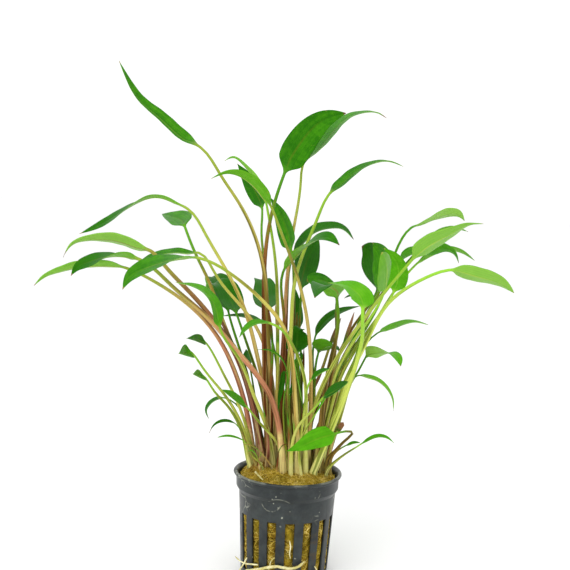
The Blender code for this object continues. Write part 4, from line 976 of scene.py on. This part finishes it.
# Leaves, stubs and strands too small for a CAD node of their own
SMALL_LEAVES = (
    # Thin young leaves
    Leaf("lime", 1.4, 10, (40, 40), 1.2, (6.2, -9),
         ((5.5, 65), (7, 69), (12, 78)),
         ((16.5, 86.5), (19.5, 91)), (-24, -26), 0.3, 0.5),
    Leaf("lime", 1.7, 10, (30, 30), 1.1, (-12.8, -5),
         ((-16.6, 55.2), (-18.6, 58.5), (-21.7, 63.3)),
         ((-25.5, 65), (-30.5, 65.5), (-34.5, 64.5)), (-16, -26), 0.3, 0),
    Leaf("olive", 1.6, 10, (40, 90), 1.1, (-15.5, -5.5),
         ((-19, 59), (-23.5, 68.5), (-26, 71.5)),
         ((-31, 73), (-36.5, 70.5), (-38.5, 66.5)), (-20, -30), -0.3, 0.5, dry=0.2),
    Leaf("lime", 0.8, 10, (30, 30), 0.7, (-12, -7),
         ((-14.5, 54.5), (-16, 57.5)),
         ((-18, 59), (-20, 58)), (-14, -16), 0.3, 0.5),
    Leaf("green", 1.2, 10, (40, 40), 1.1, (6.5, -5),
         ((7.5, 70), (5.5, 83)),
         ((3, 94), (0, 106)), (-16, -14), 0.1, 0.3),
    Leaf("green", 1.2, 10, (40, 40), 1.1, (-0.2, -4.5),
         ((0, 69.5), (-1.5, 91.5), (-3, 100)),
         ((-5.5, 104.5), (-11, 108), (-17, 108)), (-18, -22), 0, 0.3),
    Leaf("green", 1.2, 10, (30, 30), 1.2, (-14.8, 1),
         ((-18.5, 83.5), (-23.5, 102.5), (-30, 112.5)),
         ((-37.5, 119.5), (-43.5, 123)), (6, 10), 0.3, 0.3),
    # Small dark leaves in the heart of the plant
    Leaf("green", 2.6, 12, (40, 40), 1.3, (-0.5, -8),
         ((-2.5, 69.5), (-2.5, 91.5), (-2.5, 97)),
         ((-3.5, 98), (-4.5, 94), (-5.5, 86), (-6, 78.5)), (-11, -20), -0.6, 0.3),
    Leaf("green", 3.0, 12, (40, 40), 1.1, (5.2, 2.8),
         ((3.5, 79.5), (1.5, 100)),
         ((2, 105.5), (3.5, 107), (4.5, 104)), (0, -8), -0.5, 0.2),
    Leaf("green", 3.4, 12, (40, 40), 1.1, (1.6, -1.8),
         ((0.5, 69.5), (-0.5, 86)),
         ((0, 89.5), (1, 92.5), (3, 95.5)), (-8, -10), -0.4, 0.2),
    Leaf("green", 1.6, 12, (40, 40), 1.1, (19.3, 2.2),
         ((25.5, 95), (32, 117.5), (32, 130)),
         ((29.5, 135.5), (26, 136), (23, 134.5)), (-10, -30), -0.7, 0.0),
    Leaf("olive", 7, 15, (60, 60), 2.2, (16.2, -5),
         ((15.5, 70.5), (18.5, 95), (20, 119), (19.5, 133.5), (19.5, 138.5)),
         ((16, 141.5), (10.5, 143), (5, 142)), (-4, -16), 0.0, -0.3, base=0.9),
    # Old petioles that have lost their blades
    Leaf("red", 1.6, 5, (30, 30), 2.6, (-9.5, -1.5),
         ((-9, 69.5), (-10, 91), (-10, 110.5)),
         ((-11, 118), (-13, 129.5)), (-6, 4), -0.5, 0, dry=1.0),
    Leaf("tan", 1.6, 5, (30, 30), 2.6, (-7, -1.9),
         ((-7, 69.5), (-7, 91.5), (-7.5, 110.5)),
         ((-8, 118), (-9.5, 130)), (-4, 5), 0, 0, dry=1.0),
    Leaf("purple", 2.0, 5, (30, 30), 2.8, (-12.4, 0.6),
         ((-15, 69), (-20.5, 88.5), (-27, 106.5)),
         ((-32.5, 117), (-38.5, 127)), (-4, 0), -0.3, 0, dry=1.0),
    Leaf("olive", 2.0, 5, (30, 30), 2.6, (14.8, 8.7),
         ((19.5, 78), (24, 100), (28, 114.5)),
         ((31, 123.5), (34, 131.5)), (4, 12), 0, 0, dry=0.5),
    Leaf("purple", 2.0, 5, (30, 30), 2.8, (4.2, 3.6),
         ((3.7, 68), (7.6, 84.8), (11.1, 92.2), (14, 99.6), (16.7, 109.4)),
         ((19, 116.7), (21.9, 125)), (10, 16), -0.3, 0, dry=1.0),
    Leaf("olive", 1.8, 5, (30, 30), 2.4, (10.6, 1.2),
         ((11.4, 65.3), (14.8, 75.3), (17.7, 84.2), (20.2, 92.6), (23, 101.9)),
         ((26.9, 109.8), (30.5, 118)), (6, 12), -0.2, 0, dry=0.8),
    Leaf("pink", 1.8, 5, (30, 30), 2.4, (12.7, 5.2),
         ((15, 75.5), (19.5, 97.5), (23.5, 112)),
         ((26.5, 122), (28, 128)), (10, 18), 0, 0, dry=1.0),
    Leaf("red", 1.6, 5, (30, 30), 2.2, (6.2, 1.8),
         ((6, 70), (4.5, 87)),
         ((5, 99), (5, 110)), (8, 14), -0.5, 0, dry=1.0),
    Leaf("olive", 1.6, 5, (30, 30), 2.4, (3.8, 7.4),
         ((3.5, 70), (2.5, 92), (1.5, 108.5)),
         ((1, 118.5), (1, 127)), (10, 16), -0.3, 0, dry=0.5),
    # Cut stubs and dried strands
    Leaf("pink", 2.6, 5, (80, 80), 2.6, (18.6, 6.8),
         ((19.6, 60), (21.4, 67), (22.9, 70)),
         ((24.2, 72.4), (25.6, 74.6)), (3, 3), -0.2, -0.6, base=0.15, dry=1.0),
    Leaf("red", 1.0, 5, (30, 30), 1.5, (0.9, -5.6),
         ((0, 62.5), (-1, 74.5)),
         ((-2, 82), (-2.5, 88)), (-20, -22), -0.8, 0, dry=1.0),
    Leaf("tan", 1.9, 5, (30, 30), 2.0, (0.2, -3.2),
         ((2, 60), (2, 71)),
         ((1.5, 74.5), (1, 78)), (-15, -16), 0, 0, dry=1.0),
    Leaf("purple", 1.6, 5, (30, 30), 2.0, (-10, -3.6),
         ((-10, 62), (-12, 75)),
         ((-13.5, 82.5), (-14.5, 88)), (-14, -16), -0.3, 0, dry=1.0),
    Leaf("tan", 0.8, 5, (30, 30), 0.7, (-7.8, -6.8),
         ((-11.5, 55.9), (-14.2, 58.7)),
         ((-18.1, 61.4), (-21.6, 61.6)), (-14, -18), 0.2, 0, dry=1.0),
    Leaf("red", 0.8, 5, (30, 30), 0.8, (-5.4, -7),
         ((-5, 57), (-4, 61)),
         ((-2.5, 62.5), (-0.5, 62.5)), (-16, -18), -0.5, 0, dry=1.0),
    Leaf("pink", 0.9, 5, (30, 30), 0.9, (-13.6, -6),
         ((-14, 54), (-13.5, 57)),
         ((-12.8, 58.5), (-12.5, 60)), (-9, -10), 0, 0, dry=1.0),
)

# The visible leaves' sections: where the points of a blade's upper side lie across it, and its sizes
UPPER_ACROSS = np.array((1, 0.93, 0.75, 0.5, 0.25, 0.08, 0, -0.08, -0.25, -0.5, -0.75, -0.93, -1))
MARGIN_CURL = 1.35
MARGIN_THINNING = 0.75
BLADE_THICKNESS = 0.42
GROOVE_DEPTH = 0.16
RIB_HEIGHT = 0.3
RIB_SHARE = 0.09
WAVE_HEIGHT = 0.03
WAVES_PER_MM = (0.55, 0.23)
TIP_HALF_WIDTH = 0.12
PATTERN_APART = 37.0
VEINS = 4.5


def side_by_side(*columns):
    """Vectors made of numbers that are spread over the same rows and columns."""
    return np.stack(np.broadcast_arrays(*columns), axis=-1)


def leaf_mesh(number, leaf, base, points):
    """One leaf: rings that are round along the petiole and flatten into a thin, folded and waved blade."""
    stations = np.linspace(0, 1, STATIONS)
    length = np.linalg.norm(np.diff(points, axis=0), axis=1).sum()
    lower = 2 + round(length * base / PETIOLE_RING_EVERY)
    upper = 3 + round(length * (1 - base) / BLADE_RING_EVERY)
    places = np.concatenate((np.linspace(0, base, lower, endpoint=False), np.linspace(base, 1, upper)))
    _, side, face = leaf_frame(leaf, base, stations, points)
    centre, side, face = (np.stack([np.interp(places, stations, part[:, axis]) for axis in range(3)], axis=1)
                          for part in (points, side, face))
    half, petiole, share = half_widths(leaf, base, places, TIP_HALF_WIDTH)
    petiole = petiole * (1 + SHEATH_SWELL * np.exp(-(places * length / SHEATH_LENGTH) ** 2))
    half = np.maximum(half, np.minimum(petiole, half + petiole * np.clip(1 - share * 3, 0, 1)))
    flattened = np.clip(share / FLATTENING, 0, 1)
    flatness = (flattened * flattened * (3 - 2 * flattened))[:, None]
    fold = np.radians(leaf.fold) * flattened
    across = np.concatenate((UPPER_ACROSS, UPPER_ACROSS[-2:0:-1]))
    upside = np.concatenate((np.ones(len(UPPER_ACROSS)), -np.ones(len(UPPER_ACROSS) - 2)))
    bend = np.abs(across) ** MARGIN_CURL
    lift = (bend - MIDRIB_SINK) * (half * np.sin(fold))[:, None]
    along_mm = places * length
    short, long = WAVES_PER_MM
    wave = np.sin(along_mm * short + number)[:, None] * np.sin(along_mm * long + 2 * number)[:, None]
    lift += WAVE_HEIGHT * half[:, None] * across ** 2 * wave * np.sign(across) * flatness
    thick = np.minimum(BLADE_THICKNESS / 2, half * 0.6)[:, None] * (1 - MARGIN_THINNING * across ** 4)
    middle = np.exp(-(across / RIB_SHARE) ** 2) * (1 - share)[:, None] ** 0.7
    thick = thick - np.where(upside > 0, GROOVE_DEPTH, -RIB_HEIGHT) * middle * np.minimum(half[:, None], 1)
    blade_x = half[:, None] * across * np.cos(fold)[:, None]
    blade_y = lift + thick * upside
    angle = (1 - across) * math.pi / 2 * upside
    round_x = petiole[:, None] * np.cos(angle)
    round_y = petiole[:, None] * np.sin(angle)
    x = round_x * (1 - flatness) + blade_x * flatness
    y = round_y * (1 - flatness) + blade_y * flatness
    rings = centre[:, None] + x[..., None] * side[:, None] + y[..., None] * face[:, None]
    sunk = rings[:1] - np.array((0, 0, FOOT_DEPTH))
    mesh, _ = joined([lofted(np.concatenate((sunk, rings)))])
    rows = np.concatenate(([0], np.arange(len(places))))
    along_petiole = np.minimum(places / base, 1)
    set_values(mesh, "skin", side_by_side(x[rows], along_mm[rows, None], number * PATTERN_APART))
    set_values(mesh, "blade", side_by_side(across, along_petiole[rows, None], share[rows, None]))
    set_values(mesh, "look", np.tile((leaf.tone, leaf.dry, number), (len(mesh.vertices), 1)))
    above = np.tile(np.arange(len(across)) < len(UPPER_ACROSS) - 1, len(rows) - 1)
    set_values(mesh, "upper", np.concatenate((above, (0, 0))).astype(float), "FACE")
    return mesh


# Petiole colours of each kind of leaf, from the foot in the wool up to the blade, and those of its dark
# streaks, partly its own streaks, partly painted shade; and the greens of the blades, above and below, from
# dark to bright
Skin = namedtuple("Skin", "foot low high neck streak")
SKINS = {kind: Skin(*(rgb(*colour) for colour in colours)) for kind, *colours in (
    ("green", (206, 204, 120), (146, 154, 52), (96, 138, 34), (74, 136, 24), (38, 60, 8)),
    ("lime", (224, 220, 136), (196, 204, 92), (170, 194, 76), (142, 192, 56), (98, 116, 24)),
    ("olive", (178, 160, 88), (148, 116, 58), (136, 116, 48), (94, 146, 34), (58, 48, 12)),
    ("tan", (220, 204, 132), (194, 162, 88), (192, 182, 88), (150, 172, 62), (98, 90, 24)),
    ("pink", (216, 196, 126), (188, 122, 94), (184, 160, 88), (146, 164, 62), (104, 66, 34)),
    ("red", (164, 124, 70), (120, 60, 32), (132, 80, 40), (74, 128, 26), (46, 20, 6)),
    ("purple", (198, 166, 112), (150, 92, 72), (142, 98, 62), (146, 140, 60), (72, 38, 18)),
)}
UPPER_GREENS = ((0.0, rgb(8, 46, 1)), (0.45, rgb(32, 104, 4)), (0.65, rgb(80, 158, 16)),
                (1.0, rgb(134, 198, 50)))
UNDER_GREENS = ((0.0, rgb(44, 104, 12)), (0.35, rgb(90, 158, 28)), (0.5, rgb(120, 178, 58)),
                (1.0, rgb(164, 208, 96)))


def leaf_skin(kind):
    """Waxy green blade with parallel veins, paler beneath and dry at its tip, on a streaked petiole whose
    pale streaks are painted highlights and whose dark streaks are partly painted shade.
    """
    material, start, shader = new_material(kind + " leaf")
    skin = stored(start, "skin")
    upper = stored(start, "upper", "Fac")
    across, along_petiole, along_blade = stored(start, "blade").numbers()
    tone, dry, number = stored(start, "look").numbers()
    chance = start.node("TexWhiteNoise", {"noise_dimensions": "1D"}, {"W": number}, out="Value")
    aside = abs(across)
    streaks = skin.stretched(1.0, 0.02, 1.0).clouds(1.2, 2)
    mottle = skin.clouds(0.3, 4, 0.6)
    grain = skin.clouds(3.0, 2)

    colours = SKINS[kind]
    stops = ((0.0, colours.foot), (0.05, colours.foot), (0.17, colours.low), (0.5, colours.low),
             (0.74, colours.high), (0.92, colours.neck))
    stem = (along_petiole + (mottle - 0.5) * 0.3).ramp(stops)
    # Dark streaks: the petiole's own streaks, and painted shade in the furrows between its ridges
    stem = (streaks.rise(0.5, 0.62) * along_petiole.rise(1.0, 0.7) * 0.8).blend(stem, colours.streak)
    # Pale cream streaks low on the petiole: painted highlights along its ridges
    stem = (streaks.rise(0.44, 0.34) * along_petiole.rise(0.8, 0.3) * 0.5).blend(stem, rgb(228, 220, 140))
    stem = stem.node("HueSaturation", {}, {"Color": stem, "Value": 0.78 + chance * 0.4,
                                           "Hue": 0.492 + chance * 0.016})

    light = 0.5 + tone * 0.5 + (mottle - 0.5) * 0.2 + (streaks - 0.5) * 0.15
    green = upper.blend(light.ramp(UNDER_GREENS), light.ramp(UPPER_GREENS))
    stripes = aside * VEINS
    veins = stripes.math("PINGPONG", stripes, 0.5).rise(0.4, 0.5)
    green = (veins * (0.32 - upper * 0.16)).blend(green, rgb(60, 116, 26))
    rib = aside.rise(0.1, 0.03) * along_blade.rise(0.95, 0.3)
    green = (rib * (0.6 - upper * 0.45)).blend(green, colours.high)
    wear = skin.clouds(0.9, 2).rise(0.68, 0.74) * aside.rise(0.5, 1.0)
    green = (wear * 0.5).blend(green, rgb(150, 140, 60))
    on_blade = along_blade.rise(0.0, 0.12)
    colour = on_blade.blend(stem, green)
    dried = along_blade.rise(1.0 - dry, 1.0 - dry * 0.4)
    colour = (dried * 0.9).blend(colour, tuple(part * 0.6 for part in colours.low))

    height = grain * 0.2 + streaks * 0.5 + veins * on_blade * 0.4
    paint(shader, start, colour, 0.34 + mottle * 0.16, height, 0.12, Specular_IOR_Level=0.3,
          Specular_Tint=(0.35, 0.6, 0.12, 1))
    return material


leaf_looks = {kind: leaf_skin(kind) for kind in SKINS}
plants = LEAVES + SMALL_LEAVES
paths, bases = zip(*(leaf_path(leaf) for leaf in plants))
make_room(LEAVES, paths[:len(LEAVES)], bases[:len(LEAVES)])
make_room(plants, paths, bases, len(LEAVES))
for number, (leaf, path, base) in enumerate(zip(plants, paths, bases), start=1):
    points = from_front(path)
    stand_on_wool(points)
    name, nodes = f"small_leaf_{number - len(LEAVES):02d}", ()
    if number <= len(LEAVES):
        name, nodes = f"leaf_{number:02d}_skin", (f"leaf_{number:02d}",)
    mesh = leaf_mesh(number, leaf, base, points)
    add_piece(name, mesh, leaf_looks[leaf.kind], "leaf_" + leaf.kind, *nodes)

# The floor: a plain white matt sheet that the pot stands on, so large that none of its edges shows near the
# plant. The room behind it is as white.
SHEET_HALF = 4.0
floor_mesh = bpy.data.meshes.new("floor")
corners = [(SHEET_HALF * x, SHEET_HALF * y, 0) for x, y in ((-1, -1), (1, -1), (1, 1), (-1, 1))]
floor_mesh.from_pydata(corners, [], [(0, 1, 2, 3)])
floor_material, _, floor_shader = new_material("white floor")
floor_shader.inputs["Base Color"].default_value = (0.92, 0.92, 0.92, 1)
floor_shader.inputs["Roughness"].default_value = 0.9
floor_mesh.materials.append(floor_material)
add_object("floor", floor_mesh)

# Soft studio light: a white room all round, and a large lamp above and in front.
WHITE_ROOM = 1.1
LAMP_SIZE = 0.8
LAMP_POWER = 5
LAMP_PLACE = Vector((-0.35, -0.7, 0.85))
LAMP_AIM = Vector((0, 0, 0.12))
world = bpy.data.worlds.new("white room")
bpy.context.scene.world = world
world.use_nodes = True
background = world.node_tree.nodes["Background"]
background.inputs["Color"].default_value = (1, 1, 1, 1)
background.inputs["Strength"].default_value = WHITE_ROOM
bpy.context.scene.view_settings.view_transform = "Standard"
lamp_data = bpy.data.lights.new("soft box", "AREA")
lamp_data.size = LAMP_SIZE
lamp_data.energy = LAMP_POWER
lamp = add_object("soft box", lamp_data)
lamp.location = LAMP_PLACE
lamp.rotation_mode = "QUATERNION"
lamp.rotation_quaternion = (LAMP_PLACE - LAMP_AIM).to_track_quat("Z", "Y")

# The camera: a little above the leaves' middle, looking slightly down, and turned a little about its sight.
# Its focal length is in pixels of the frame's width.
FRAME_WIDTH = 570
FOCAL_LENGTH = 1100
PITCH = math.radians(6.5)
ROLL = math.radians(2.5)
camera_data = bpy.data.cameras.new("camera")
camera_data.sensor_width = 36
camera_data.lens = camera_data.sensor_width * FOCAL_LENGTH / FRAME_WIDTH
camera = add_object("camera", camera_data)
camera.location = Vector(EYE) * MM
camera.rotation_mode = "QUATERNION"
level_up = Vector((0, math.sin(PITCH), math.cos(PITCH)))
up = math.cos(ROLL) * level_up - math.sin(ROLL) * Vector((1, 0, 0))
backward = Vector((0, -math.cos(PITCH), math.sin(PITCH)))
camera.rotation_quaternion = Matrix((up.cross(backward), up, backward)).transposed().to_quaternion()
bpy.context.scene.camera = camera
